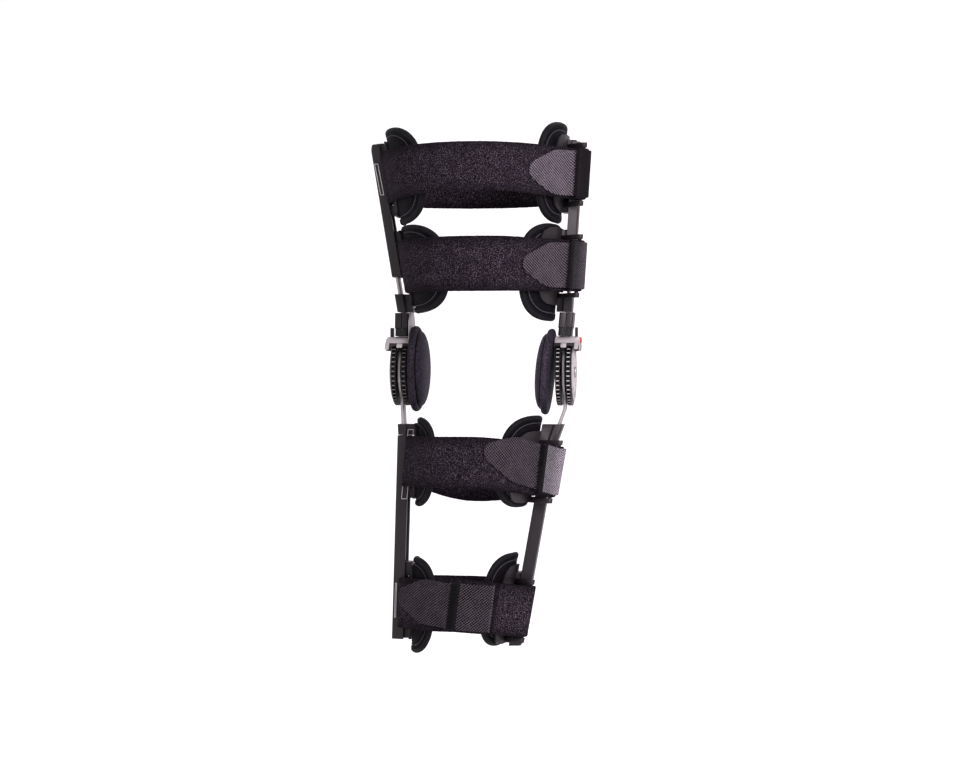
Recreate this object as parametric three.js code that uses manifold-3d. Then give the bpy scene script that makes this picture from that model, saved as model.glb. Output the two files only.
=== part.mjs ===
// Hinged knee ligament brace: two side uprights with dial hinges, eight padded clips
// and four straps that wrap the leg and close with hook tabs on the front.
// Millimetres, +Z up, -Y the front of the leg, +X the side with the ring posts.
// The origin is the knee centre, on the hinge axis and midway between the two hinges.
import * as THREE from 'three';
import { mergeVertices } from 'three/addons/utils/BufferGeometryUtils.js';
import Module from 'manifold-3d';

const wasm = await Module();
wasm.setup();

const GAP = 0.3; // clearance between neighbouring pieces

// Outward direction of each side along X
const SIGN = { left: -1, right: 1 };

// Hinge, measured outward (u) from its own mid-plane
const HINGE_X = 81.6;
const DISC = { radius: 33.5, root: 31.8, thick: 5, halfSpace: 2.7, teeth: 24, toothShare: 0.52 };
const PLATE_RADIUS = 28;
const PIN = { radius: 3.8, headRadius: 5.5, headThick: 1.9 };
const DIAL = { radius: 29, thick: 1.4 };
const CAP = { thick: 1.8, halfAngle: 42, inner: -9.3, outer: 14.8, earHalf: 16, earBottom: 21 };
const TONGUE = { radius: 29.4, halfAngle: 36 };
const LABEL = { halfWidth: 18, top: 60, thick: 1.4 };
const SLIDE = { halfWidth: 6, thick: 2.4, bottom: 20.5, top: 44.4 };
const BUTTON = { radius: 3.4, length: 3.9, z: 31.5 };
const BLOCK = {
  halfWidth: 7.1, halfDepth: 13, neckHalfWidth: 6.6, neckHalfDepth: 12, neckTop: 43.5, top: 59,
};

// Steel bar and the C-channel sleeve that it slides in
const BAR = { halfThick: 1.3, halfDepth: 9.25, bend: 36 };
const SLEEVE_HALF_DEPTH = 12;
const SLEEVE_MOUTH = 7.5;
const SLEEVE_HALF_WIDTH = { thigh: 5, calf: 6 };

// Centre line of each upright: x at two heights, and where its sleeve and bar end
const UPRIGHTS = {
  thigh: {
    left: { z0: 60, x0: -81.1, z1: 222, x1: -108.2, sleeve: [95, 228], barEnd: 150 },
    right: { z0: 60, x0: 83.9, z1: 222, x1: 94.4, sleeve: [95, 228], barEnd: 150 },
  },
  calf: {
    left: { z0: -64, x0: -80.3, z1: -264, x1: -86.1, sleeve: [-267, -63.4], barEnd: -190 },
    right: { z0: -77, x0: 66.4, z1: -268, x1: 32.6, sleeve: [-272, -78], barEnd: -190 },
  },
};

// Braced leg outside the pads: depth in front of and behind the hinge plane at two heights
const LEG = {
  thigh: { z0: 104, front0: 82.4, back0: 52.4, z1: 194, front1: 88.4, back1: 66.4 },
  calf: { z0: -95, front0: 61.4, back0: 44.4, z1: -233, front1: 48.4, back1: 41.4 },
};

// Strap, and the window for it between an upright and its paddle
const STRAP = { width: 50, thick: 3, lift: 0.6, start: -6, step: 8 };
const WINDOW = { depth: 4.2, halfHeight: 26.2 };
const POST = { radius: 2, y: -24, reach: 31, linkRoot: [-7.5, -10], linkHalf: 3.2, linkHeight: 4.6 };
const RETURN = { lift: 3.4, settle: 30 };
const TAB = { thick: 2, gap: 0.6, halfHeight: 22, jawHalf: 23, tipLength: 33, tipHalf: 2.5, step: 7 };
const PADDLE = { thick: 2.5, back: 16, cells: 6, roundness: 5, crowding: 0 };
const ARM = { half: 9, sink: 1.4 };
const COLLAR = { half: 4.8, halfDepth: 12.5, chamfer: 1.6 };
const PAD = { thick: 10, rim: 4, gap: 0.6, cells: 6, roundness: 3.1, crowding: 0.6 };

// One row a strap level. right, left, front, back: centre heights of the strap round the leg.
// frontWidth: width of the strap where it is stretched over the front of the leg.
// postOut: ring post outside the upright's centre line. fold: strap that comes back round the post.
// tabStart, tabFree, tabTip: lengths from the post where the tab begins, leaves the strap and ends.
// tabSlope: rise of the tab for each millimetre away from the post.
// tabTurn: how much further the tab lies from the post for each millimetre of height.
const LEVELS = [
  { zone: 'thigh', place: 'upper', right: 194, left: 193, front: 196.7, back: 194, frontWidth: 46.6,
    postOut: 7.4, fold: 10, tabStart: 0, tabFree: 68, tabTip: 68, tabSlope: 0, tabTurn: 0 },
  { zone: 'thigh', place: 'lower', right: 104, left: 104, front: 103.6, back: 116, frontWidth: 53,
    postOut: 9.2, fold: 13, tabStart: 0, tabFree: 68.7, tabTip: 68.7, tabSlope: 0, tabTurn: 0 },
  { zone: 'calf', place: 'upper', right: -98.5, left: -89, front: -88, back: -107, frontWidth: 50,
    postOut: 10.2, fold: 16, tabStart: 0, tabFree: 80, tabTip: 80, tabSlope: 0.28, tabTurn: 0.06 },
  { zone: 'calf', place: 'lower', right: -236, left: -230, front: -229, back: -233, frontWidth: 51,
    postOut: 6.8, fold: 80.5, tabStart: 39, tabFree: 107, tabTip: 141, tabSlope: 0.1, tabTurn: 0.08 },
];

// One row a clip and its pad. up, down: reach of the clip's arms above and below the strap's centre.
// rise, fall: the same for its paddle. wing: degrees that the paddle reaches forward.
// forward, behind: degrees that the pad reaches.
// low, high: heights of the pad's ends.
const CLIPS = [
  { level: 0, side: 'left', up: 36, down: 36, rise: 38, fall: 38, wing: 16,
    forward: 57, behind: 22, low: 146, high: 241 },
  { level: 0, side: 'right', up: 36, down: 36, rise: 40, fall: 36, wing: 25,
    forward: 40, behind: 22, low: 147, high: 246 },
  { level: 1, side: 'left', up: 37, down: 44, rise: 38, fall: 38, wing: 16,
    forward: 69, behind: 28, low: 58, high: 145 },
  { level: 1, side: 'right', up: 37, down: 44, rise: 38, fall: 38, wing: 38,
    forward: 54, behind: 28, low: 50, high: 146 },
  { level: 2, side: 'left', up: 37, down: 37, rise: 38, fall: 38, wing: 16,
    forward: 51, behind: 30, low: -134, high: -45 },
  { level: 2, side: 'right', up: 46.5, down: 31, rise: 40, fall: 31, wing: 46,
    forward: 61, behind: 30, low: -134, high: -43 },
  { level: 3, side: 'left', up: 40, down: 36, rise: 38, fall: 38, wing: 16,
    forward: 62, behind: 32, low: -280, high: -184 },
  { level: 3, side: 'right', up: 37, down: 33, rise: 45, fall: 34, wing: 36,
    forward: 58, behind: 32, low: -272, high: -179 },
];

// Condyle pads: distance of each back from the knee centre, its lean in degrees, how far
// its middle is above the hinge axis, and the profile of both
const CONDYLE = {
  left: { back: 72, lean: 0, rise: 3.4 }, right: { back: 68.6, lean: 5, rise: 0 }, segments: 18,
};
const CONDYLE_PROFILE = [
  { radius: 0, height: 0 },
  { radius: 41.4, height: 0 },
  { radius: 43, height: 1.8 },
  { radius: 43, height: 5.6 },
  { radius: 41.2, height: 7.4 },
  { radius: 38.4, height: 7.6 },
  { radius: 38, height: 8.8 },
  { radius: 34.5, height: 12.2 },
  { radius: 26, height: 14.9 },
  { radius: 13, height: 16.2 },
  { radius: 0, height: 16.5 },
];

const FINISH = {
  plastic: { color: 0x3a383a, roughness: 0.5, metalness: 0 },
  disc: { color: 0x1a191a, roughness: 0.45, metalness: 0 },
  grey: { color: 0xb3afb0, roughness: 0.45, metalness: 0 },
  steel: { color: 0xc8c6c6, roughness: 0.3, metalness: 1 },
  red: { color: 0xc2262c, roughness: 0.35, metalness: 0 },
  pad: { color: 0x1d1d27, roughness: 0.9, metalness: 0 },
  strap: { color: 0x1b181a, roughness: 1, metalness: 0 },
  tab: { color: 0x45414a, roughness: 0.85, metalness: 0 },
};

const { lerp, smoothstep, degToRad } = THREE.MathUtils;

// Joining and cutting of closed shapes
function toSolid(geometry) {
  const bare = geometry.clone();
  bare.deleteAttribute('normal');
  bare.deleteAttribute('uv');
  const merged = mergeVertices(bare, 1e-4);
  return new wasm.Manifold(new wasm.Mesh({
    numProp: 3,
    vertProperties: new Float32Array(merged.attributes.position.array),
    triVerts: new Uint32Array(merged.index.array),
  }));
}

function fromSolid(solid) {
  const mesh = solid.getMesh();
  const geometry = new THREE.BufferGeometry();
  geometry.setAttribute('position', new THREE.BufferAttribute(mesh.vertProperties, 3));
  geometry.setIndex(new THREE.BufferAttribute(mesh.triVerts, 1));
  return geometry;
}

function joined(geometries) {
  return geometries.map(toSolid).reduce((whole, solid) => whole.add(solid));
}

// Turn a shape's faces outward when its signed volume is negative
function facingOut(geometry) {
  const index = geometry.index.array;
  const [a, b, c] = [new THREE.Vector3(), new THREE.Vector3(), new THREE.Vector3()];
  let volume = 0;
  for (let i = 0; i < index.length; i += 3) {
    [a, b, c].forEach((corner, k) => corner.fromBufferAttribute(geometry.attributes.position, index[i + k]));
    volume += a.dot(b.cross(c));
  }
  if (volume < 0) {
    for (let i = 0; i < index.length; i += 3) [index[i], index[i + 1]] = [index[i + 1], index[i]];
  }
  return geometry;
}

// Closed shape between two grids of points that have the same rows and columns
function closedSheet(face, back) {
  const rows = face.length;
  const columns = face[0].length;
  const at = (layer, i, j) => (layer * rows + i) * columns + j;
  const triangles = [];
  const quad = (a, b, c, d) => triangles.push(a, b, c, a, c, d);
  for (let i = 0; i < rows - 1; i++) {
    for (let j = 0; j < columns - 1; j++) {
      quad(at(0, i, j), at(0, i, j + 1), at(0, i + 1, j + 1), at(0, i + 1, j));
      quad(at(1, i + 1, j), at(1, i + 1, j + 1), at(1, i, j + 1), at(1, i, j));
    }
  }
  const [lastRow, lastColumn] = [rows - 1, columns - 1];
  for (let j = 0; j < lastColumn; j++) {
    quad(at(0, 0, j + 1), at(0, 0, j), at(1, 0, j), at(1, 0, j + 1));
    quad(at(0, lastRow, j), at(0, lastRow, j + 1), at(1, lastRow, j + 1), at(1, lastRow, j));
  }
  for (let i = 0; i < lastRow; i++) {
    quad(at(0, i, 0), at(0, i + 1, 0), at(1, i + 1, 0), at(1, i, 0));
    quad(at(0, i + 1, lastColumn), at(0, i, lastColumn), at(1, i, lastColumn), at(1, i + 1, lastColumn));
  }
  const geometry = new THREE.BufferGeometry().setFromPoints([...face.flat(), ...back.flat()]);
  geometry.setIndex(triangles);
  return facingOut(geometry);
}

// Outlines
function rectangle(x0, y0, x1, y1) {
  return [[x0, y0], [x1, y0], [x1, y1], [x0, y1]];
}

function chamfered(halfX, halfY, cut) {
  return [
    [halfX - cut, -halfY], [halfX, -halfY + cut], [halfX, halfY - cut], [halfX - cut, halfY],
    [-halfX + cut, halfY], [-halfX, halfY - cut], [-halfX, -halfY + cut], [-halfX + cut, -halfY],
  ];
}

function arc(radius, fromDeg, toDeg, steps, cx = 0, cy = 0) {
  return Array.from({ length: steps + 1 }, (_, i) => {
    const angle = degToRad(lerp(fromDeg, toDeg, i / steps));
    return [cx + radius * Math.cos(angle), cy + radius * Math.sin(angle)];
  });
}

function ring(radius, sides) {
  return arc(radius, 0, 360 - 360 / sides, sides - 1);
}

function shapeOf(outline, hole) {
  const shape = new THREE.Shape(outline.map(([x, y]) => new THREE.Vector2(x, y)));
  if (hole) shape.holes.push(new THREE.Path(hole.map(([x, y]) => new THREE.Vector2(x, y))));
  return shape;
}

// Prism standing along Z, drawn in X and Y
function upright(outline, z0, z1, hole) {
  const geometry = new THREE.ExtrudeGeometry(shapeOf(outline, hole), { depth: z1 - z0, bevelEnabled: false });
  return geometry.translate(0, 0, z0);
}

// Prism lying along X, drawn in Y and Z
function sideways(outline, x0, x1, hole) {
  const geometry = new THREE.ExtrudeGeometry(shapeOf(outline, hole), { depth: x1 - x0, bevelEnabled: false });
  const [x, y, z] = [new THREE.Vector3(1, 0, 0), new THREE.Vector3(0, 1, 0), new THREE.Vector3(0, 0, 1)];
  return geometry.applyMatrix4(new THREE.Matrix4().makeBasis(y, z, x)).translate(x0, 0, 0);
}

// Uprights: the straight centre line of a sleeve, and the bar that bends from it to the hinge
function lineX(zone, side, z) {
  const { z0, x0, z1, x1 } = UPRIGHTS[zone][side];
  return x0 + ((x1 - x0) * (z - z0)) / (z1 - z0);
}

function barX(zone, side, z) {
  const { z0 } = UPRIGHTS[zone][side];
  const along = (Math.abs(z) - BAR.bend) / (Math.abs(z0) - BAR.bend);
  if (along >= 1) return lineX(zone, side, z);
  return lerp(SIGN[side] * HINGE_X, lineX(zone, side, z0), Math.max(0, along));
}

// Lay a shape that was drawn outward from an upright's centre along that upright
function follow(geometry, zone, side, centre = barX) {
  const flat = geometry.index ? geometry : mergeVertices(geometry);
  const position = flat.attributes.position;
  for (let i = 0; i < position.count; i++) {
    position.setX(i, SIGN[side] * position.getX(i) + centre(zone, side, position.getZ(i)));
  }
  return facingOut(flat);
}

// Section of the braced leg at a height: centre and half-axes of two half-ellipses
function section(zone, z) {
  const { z0, front0, back0, z1, front1, back1 } = LEG[zone];
  const along = (z - z0) / (z1 - z0);
  const standoff = SLEEVE_HALF_WIDTH[zone] + WINDOW.depth;
  const [low, high] = [lineX(zone, 'left', z) + standoff, lineX(zone, 'right', z) - standoff];
  return {
    centre: (low + high) / 2,
    half: (high - low) / 2,
    front: lerp(front0, front1, along),
    back: lerp(back0, back1, along),
  };
}

// Place on the leg, with its outward normal. 0 degrees is the right side, 90 the back, 270 the front.
function legPlace(zone, z, degrees) {
  const { centre, half, front, back } = section(zone, z);
  const [cos, sin] = [Math.cos(degToRad(degrees)), Math.sin(degToRad(degrees))];
  const depth = sin > 0 ? back : front;
  const normal = new THREE.Vector2(cos / half, sin / depth).normalize();
  return { point: new THREE.Vector2(centre + half * cos, depth * sin), normal };
}

function offsetPoint({ point, normal }, offset, z) {
  return new THREE.Vector3(point.x + offset * normal.x, point.y + offset * normal.y, z);
}

function legPoint(zone, z, degrees, offset) {
  return offsetPoint(legPlace(zone, z, degrees), offset, z);
}

// Strap route: middle line round the leg, tangent to the ring post, round the post and back
const STRAP_MIDDLE = STRAP.lift + STRAP.thick / 2;
const WRAP_RADIUS = POST.radius + GAP + STRAP.thick / 2;

function strapHeight(level, degrees) {
  const [cos, sin] = [Math.cos(degToRad(degrees)), Math.sin(degToRad(degrees))];
  return lerp(cos > 0 ? level.right : level.left, sin > 0 ? level.back : level.front, sin ** 2);
}

function strapHalf(level, degrees) {
  const front = Math.max(0, -Math.sin(degToRad(degrees))) ** 2;
  return lerp(STRAP.width, level.frontWidth, front) / 2;
}

function postCentre(level, z) {
  return new THREE.Vector2(lineX(level.zone, 'right', z) + level.postOut, POST.y);
}

// Where the strap leaves the leg at one height, so that it just passes inside the post
function leaving(level, z) {
  const post = postCentre(level, z);
  let [low, high] = [270, 360];
  let found;
  while (high - low > 1e-4) {
    const middle = (low + high) / 2;
    const { point, normal } = legPlace(level.zone, z, middle);
    found = { degrees: middle, point: point.addScaledVector(normal, STRAP_MIDDLE), normal };
    const clearance = post.clone().sub(found.point).dot(normal);
    if (clearance > WRAP_RADIUS) high = middle;
    else low = middle;
  }
  const ahead = new THREE.Vector2(-found.normal.y, found.normal.x);
  return { ...found, ahead, post, touch: post.clone().addScaledVector(found.normal, -WRAP_RADIUS) };
}

// Place on the first layer, a length back from the post at one height, with its outward normal
function frontPlace(level, z, length) {
  const { degrees, point, normal, touch, ahead } = leaving(level, z);
  const straight = touch.distanceTo(point);
  if (length <= straight) return { point: touch.addScaledVector(ahead, -length), normal };
  const pace = 1;
  let [travelled, last] = [straight, point];
  for (let angle = degrees - pace; angle > 180; angle -= pace) {
    const place = legPlace(level.zone, z, angle);
    place.point.addScaledVector(place.normal, STRAP_MIDDLE);
    const hop = place.point.distanceTo(last);
    if (travelled + hop >= length) {
      const share = (length - travelled) / hop;
      return { point: last.clone().lerp(place.point, share), normal: place.normal };
    }
    [travelled, last] = [travelled + hop, place.point];
  }
  throw new Error('the strap has no front at this length');
}

// Place on the turn round the post: 0 where the first layer arrives, 180 where the strap starts back
function turnPlace(level, z, degrees, radius) {
  const { normal, ahead, post } = leaving(level, z);
  const outward = normal.clone().multiplyScalar(-Math.cos(degToRad(degrees)));
  outward.addScaledVector(ahead, Math.sin(degToRad(degrees)));
  return { point: post.clone().addScaledVector(outward, radius), normal: outward };
}

// Distance of the second layer's middle from the first layer's, a length back from the post
function returnLift(length) {
  return lerp(2 * WRAP_RADIUS, RETURN.lift, smoothstep(length, 0, RETURN.settle));
}

// One edge of the strap, low for end -1 and high for end 1, as a list of [face, back] points
function strapEdge(level, end) {
  const half = STRAP.thick / 2;
  const edge = [];
  const add = (place, offset, z, flip) => {
    edge.push([offsetPoint(place, offset + flip * half, z), offsetPoint(place, offset - flip * half, z)]);
  };
  const postZ = level.right + (end * STRAP.width) / 2;
  const { degrees: leave, point, touch } = leaving(level, postZ);
  const rounds = Math.ceil((leave - STRAP.start) / STRAP.step);
  let z;
  for (let i = 0; i <= rounds; i++) {
    const degrees = lerp(STRAP.start, leave, i / rounds);
    z = strapHeight(level, degrees) + end * strapHalf(level, degrees);
    add(legPlace(level.zone, z, degrees), STRAP_MIDDLE, z, 1);
  }
  const straight = touch.distanceTo(point);
  for (const share of [0.5, 1]) {
    const lineZ = lerp(z, postZ, share);
    add(frontPlace(level, lineZ, straight * (1 - share)), 0, lineZ, 1);
  }
  for (let turn = 30; turn < 180; turn += 30) add(turnPlace(level, postZ, turn, WRAP_RADIUS), 0, postZ, -1);
  const paces = Math.ceil(level.fold / STRAP.step);
  for (let i = 0; i <= paces; i++) {
    const length = (level.fold * i) / paces;
    const returnZ = postZ + level.tabSlope * length;
    add(frontPlace(level, returnZ, length), returnLift(length), returnZ, -1);
  }
  return edge;
}

function strap(level) {
  const [low, high] = [strapEdge(level, -1), strapEdge(level, 1)];
  const layer = (k) => low.map((pair, i) => [pair[k], high[i][k]]);
  return closedSheet(layer(0), layer(1));
}

// Half height of a hook tab: a square jaw over the strap's end, a body and a rounded point
function tabHalf(level, length) {
  if (length <= level.fold + GAP) return TAB.jawHalf;
  const toTip = (level.tabTip - length) / TAB.tipLength;
  const taper = 1 - Math.max(0, 1 - toTip) ** 1.8;
  return lerp(TAB.tipHalf, TAB.halfHeight, taper);
}

// Height of the tab's middle above the first layer's: over the returned strap, then down onto the first
function tabLift(level, length) {
  const onStrap = STRAP.thick / 2 + TAB.gap + TAB.thick / 2;
  const step = smoothstep(length, level.fold + GAP, level.fold + STRAP.step);
  return onStrap + lerp(returnLift(length), 0, step);
}

// Place on the tab's middle, straight on once it has left the strap
function tabPlace(level, z, length) {
  const lift = tabLift(level, length);
  if (length <= level.tabFree) return { place: frontPlace(level, z, length), lift };
  const { point, normal } = frontPlace(level, z, level.tabFree);
  const ahead = new THREE.Vector2(normal.y, -normal.x);
  return { place: { point: point.addScaledVector(ahead, length - level.tabFree), normal }, lift };
}

function tab(level) {
  const half = TAB.thick / 2;
  const [face, back] = [[], []];
  const add = (station) => {
    const edges = [-1, 1].map(station);
    face.push(edges.map(({ place, lift, z }) => offsetPoint(place, lift + half, z)));
    back.push(edges.map(({ place, lift, z }) => offsetPoint(place, lift - half, z)));
  };
  if (level.tabStart === 0) {
    for (let turn = 60; turn < 180; turn += 30) {
      add((end) => {
        const z = level.right + end * TAB.jawHalf;
        const radius = WRAP_RADIUS + tabLift(level, 0) - returnLift(0);
        return { place: turnPlace(level, z, turn, radius), lift: 0, z };
      });
    }
  }
  const bodyEnd = level.tabTip - TAB.tipLength;
  const bodySteps = Math.ceil((bodyEnd - level.tabStart) / TAB.step);
  const lengths = Array.from({ length: bodySteps }, (_, i) => lerp(level.tabStart, bodyEnd, i / bodySteps));
  lengths.push(level.fold, level.fold + 2 * GAP);
  for (const share of [1, 0.75, 0.5, 0.3, 0.15, 0.05, 0]) lengths.push(level.tabTip - share * TAB.tipLength);
  for (const length of lengths.sort((a, b) => a - b)) {
    add((end) => {
      const rise = end * tabHalf(level, length);
      const z = level.right + level.tabSlope * length + rise;
      return { ...tabPlace(level, z, length + level.tabTurn * rise), z };
    });
  }
  return closedSheet(face, back);
}

// Grid of places in a rounded square, closer together towards its rim where crowding is more than 0
function roundedGrid({ cells, roundness, crowding }) {
  const marks = Array.from({ length: cells + 1 }, (_, i) => {
    const even = (2 * i) / cells - 1;
    return lerp(even, Math.sin((Math.PI / 2) * even), crowding);
  });
  return marks.map((p) => marks.map((q) => {
    const reach = Math.max(Math.abs(p), Math.abs(q));
    const norm = (Math.abs(p) ** roundness + Math.abs(q) ** roundness) ** (1 / roundness);
    const scale = norm > 0 ? reach / norm : 1;
    return { p: p * scale, q: q * scale, reach };
  }));
}

// Degrees round the leg of a clip's front and back ends
function span(side, front, back) {
  return side === 'right' ? [-front, back] : [180 + front, 180 - back];
}

function paddle(row, level) {
  const centre = level[row.side];
  const [front, back] = span(row.side, row.wing, PADDLE.back);
  const layer = (offset) => roundedGrid(PADDLE).map((line) => line.map(({ p, q }) => {
    const z = centre + (q > 0 ? row.rise : row.fall) * q;
    return legPoint(level.zone, z, lerp(front, back, (p + 1) / 2), offset);
  }));
  return closedSheet(layer(0), layer(-PADDLE.thick));
}

// Box between two faces that follow an upright, each given as x at a height
function armBox([z0, z1], halfDepth, innerOf, outerOf) {
  const layer = (faceOf) => [z0, z1].map((z) => [-1, 1].map((end) => (
    new THREE.Vector3(faceOf(z), end * halfDepth, z))));
  return closedSheet(layer(innerOf), layer(outerOf));
}

// Arm from the paddle to the upright, with a plug in the sleeve's mouth or a collar round the bare bar
function clipArm(zone, side, heights) {
  const [lowest, highest] = UPRIGHTS[zone][side].sleeve;
  const onSleeve = heights[1] > lowest && heights[0] < highest;
  const at = (centre, u) => (z) => centre(zone, side, z) + SIGN[side] * u;
  const half = SLEEVE_HALF_WIDTH[zone];
  const paddleEnd = at(lineX, -half - WINDOW.depth - ARM.sink);
  const arm = armBox(heights, ARM.half, paddleEnd, at(barX, 0));
  if (onSleeve) {
    const [plugRoot, plugEnd] = [at(lineX, -half - 2 * GAP), at(lineX, -BAR.halfThick - 2 * GAP)];
    const plug = armBox(heights, SLEEVE_MOUTH - GAP, plugRoot, plugEnd);
    return { solids: [arm], clear: [half + GAP, SLEEVE_HALF_DEPTH + GAP], plug };
  }
  const collar = upright(chamfered(COLLAR.half, COLLAR.halfDepth, COLLAR.chamfer), ...heights);
  return { solids: [arm, follow(collar, zone, side)], clear: [BAR.halfThick + GAP, BAR.halfDepth + GAP] };
}

// Ring post of a right clip, on a link from each arm that passes in front of the upright
function ringPost(level) {
  const { zone, right, postOut } = level;
  const post = upright(ring(POST.radius, 10).map(([x, y]) => [x + postOut, y + POST.y]),
    right - POST.reach, right + POST.reach);
  const [rootX, rootY] = POST.linkRoot;
  const heading = Math.atan2(POST.y - rootY, postOut - rootX) * THREE.MathUtils.RAD2DEG;
  const outline = [
    ...arc(POST.linkHalf, heading - 90, heading + 90, 5, postOut, POST.y),
    ...arc(POST.linkHalf, heading + 90, heading + 270, 5, rootX, rootY),
  ];
  const links = [-1, 1].map((end) => {
    const edges = [right + end * (POST.reach - POST.linkHeight), right + end * POST.reach];
    return upright(outline, Math.min(...edges), Math.max(...edges));
  });
  return [post, ...links].map((geometry) => follow(geometry, zone, 'right', lineX));
}

function clip(row, level) {
  const { zone } = level;
  const centre = level[row.side];
  const above = [centre + WINDOW.halfHeight, centre + row.up];
  const below = [centre - row.down, centre - WINDOW.halfHeight];
  const arms = [above, below].map((heights) => ({ heights, ...clipArm(zone, row.side, heights) }));
  const shapes = [paddle(row, level), ...arms.flatMap(({ solids }) => solids)];
  if (row.side === 'right') shapes.push(...ringPost(level));
  let solid = joined(shapes);
  for (const { heights: [z0, z1], clear: [x, y] } of arms) {
    const room = upright(rectangle(-x, -y, x, y), z0 - 1, z1 + 1);
    solid = solid.subtract(toSolid(follow(room, zone, row.side)));
  }
  for (const { plug } of arms) if (plug) solid = solid.add(toSolid(plug));
  return fromSolid(solid);
}

// Side pad: crowned towards the leg, thin at its bound rim
function sidePad(row, level) {
  const [front, back] = span(row.side, row.forward, row.behind);
  const outside = -PADDLE.thick - PAD.gap;
  const layer = (depthOf) => roundedGrid(PAD).map((line) => line.map(({ p, q, reach }) => {
    const z = lerp(row.low, row.high, (q + 1) / 2);
    return legPoint(level.zone, z, lerp(front, back, (p + 1) / 2), outside - depthOf(reach));
  }));
  return closedSheet(layer(() => 0), layer((reach) => lerp(PAD.thick, PAD.rim, reach ** 4)));
}

// Sleeve: channel that holds the bar and is open towards the leg
function sleeve(zone, side) {
  const half = SLEEVE_HALF_WIDTH[zone];
  const [pocket, pocketDepth] = [BAR.halfThick + GAP, BAR.halfDepth + GAP];
  const round = 2;
  const outline = [
    [-half, -SLEEVE_HALF_DEPTH], ...arc(round, -90, 0, 3, half - round, -SLEEVE_HALF_DEPTH + round),
    ...arc(round, 0, 90, 3, half - round, SLEEVE_HALF_DEPTH - round), [-half, SLEEVE_HALF_DEPTH],
    [-half, SLEEVE_MOUTH], [-pocket, SLEEVE_MOUTH], [-pocket, pocketDepth], [pocket, pocketDepth],
    [pocket, -pocketDepth], [-pocket, -pocketDepth], [-pocket, -SLEEVE_MOUTH], [-half, -SLEEVE_MOUTH],
  ];
  return follow(upright(outline, ...UPRIGHTS[zone][side].sleeve), zone, side, lineX);
}

// Flat bar through the given heights, following its upright
function bar(zone, side, heights) {
  const layer = (offset) => heights.map((z) => [-1, 1].map((end) => (
    new THREE.Vector3(barX(zone, side, z) + offset, end * BAR.halfDepth, z))));
  return closedSheet(layer(BAR.halfThick), layer(-BAR.halfThick));
}

function thighBar(side) {
  const { z0, barEnd } = UPRIGHTS.thigh[side];
  return bar('thigh', side, [DISC.radius + GAP + CAP.thick + GAP, z0, barEnd]);
}

function calfBar(side) {
  const { z0, barEnd } = UPRIGHTS.calf[side];
  const plate = sideways(ring(PLATE_RADIUS, 24), -BAR.halfThick, BAR.halfThick);
  const bore = sideways(ring(PIN.radius + 2 * GAP, 12), -HINGE_X, HINGE_X);
  const stem = bar('calf', side, [-PLATE_RADIUS * 0.7, -BAR.bend, z0, barEnd]);
  const whole = joined([follow(plate, 'calf', side), stem]);
  return fromSolid(whole.subtract(toSolid(bore.translate(SIGN[side] * HINGE_X, 0, 0))));
}

// Hinge pieces, drawn outward along +X from the hinge's mid-plane
const DISC_FACE = DISC.halfSpace + DISC.thick;
const DIAL_FACE = DISC_FACE + GAP + DIAL.thick;
const CAP_RADIUS = DISC.radius + GAP;
const BLOCK_BOTTOM = CAP_RADIUS + CAP.thick + GAP;

function toothedDisc(inner, outer) {
  const pitch = 360 / DISC.teeth;
  const half = (pitch * DISC.toothShare) / 2;
  const outline = [];
  for (let tooth = 0; tooth < DISC.teeth; tooth++) {
    const middle = tooth * pitch;
    outline.push(...arc(DISC.radius, middle - half, middle + half, 1));
    outline.push(...arc(DISC.root, middle + half, middle + pitch - half, 1));
  }
  return sideways(outline, inner, outer, ring(PIN.radius + GAP, 12));
}

function hingeDial() {
  return sideways(ring(DIAL.radius, 24), DISC_FACE + GAP, DIAL_FACE, ring(PIN.radius + GAP, 12));
}

function hingePin() {
  const head = DIAL_FACE + GAP;
  const profile = [
    [0, -DISC_FACE + GAP], [PIN.radius, -DISC_FACE + GAP], [PIN.radius, head],
    [PIN.headRadius, head], [PIN.headRadius - 0.6, head + PIN.headThick], [0, head + PIN.headThick],
  ];
  const lathe = new THREE.LatheGeometry(profile.map(([r, h]) => new THREE.Vector2(r, h)), 12);
  return lathe.rotateZ(-Math.PI / 2);
}

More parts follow.
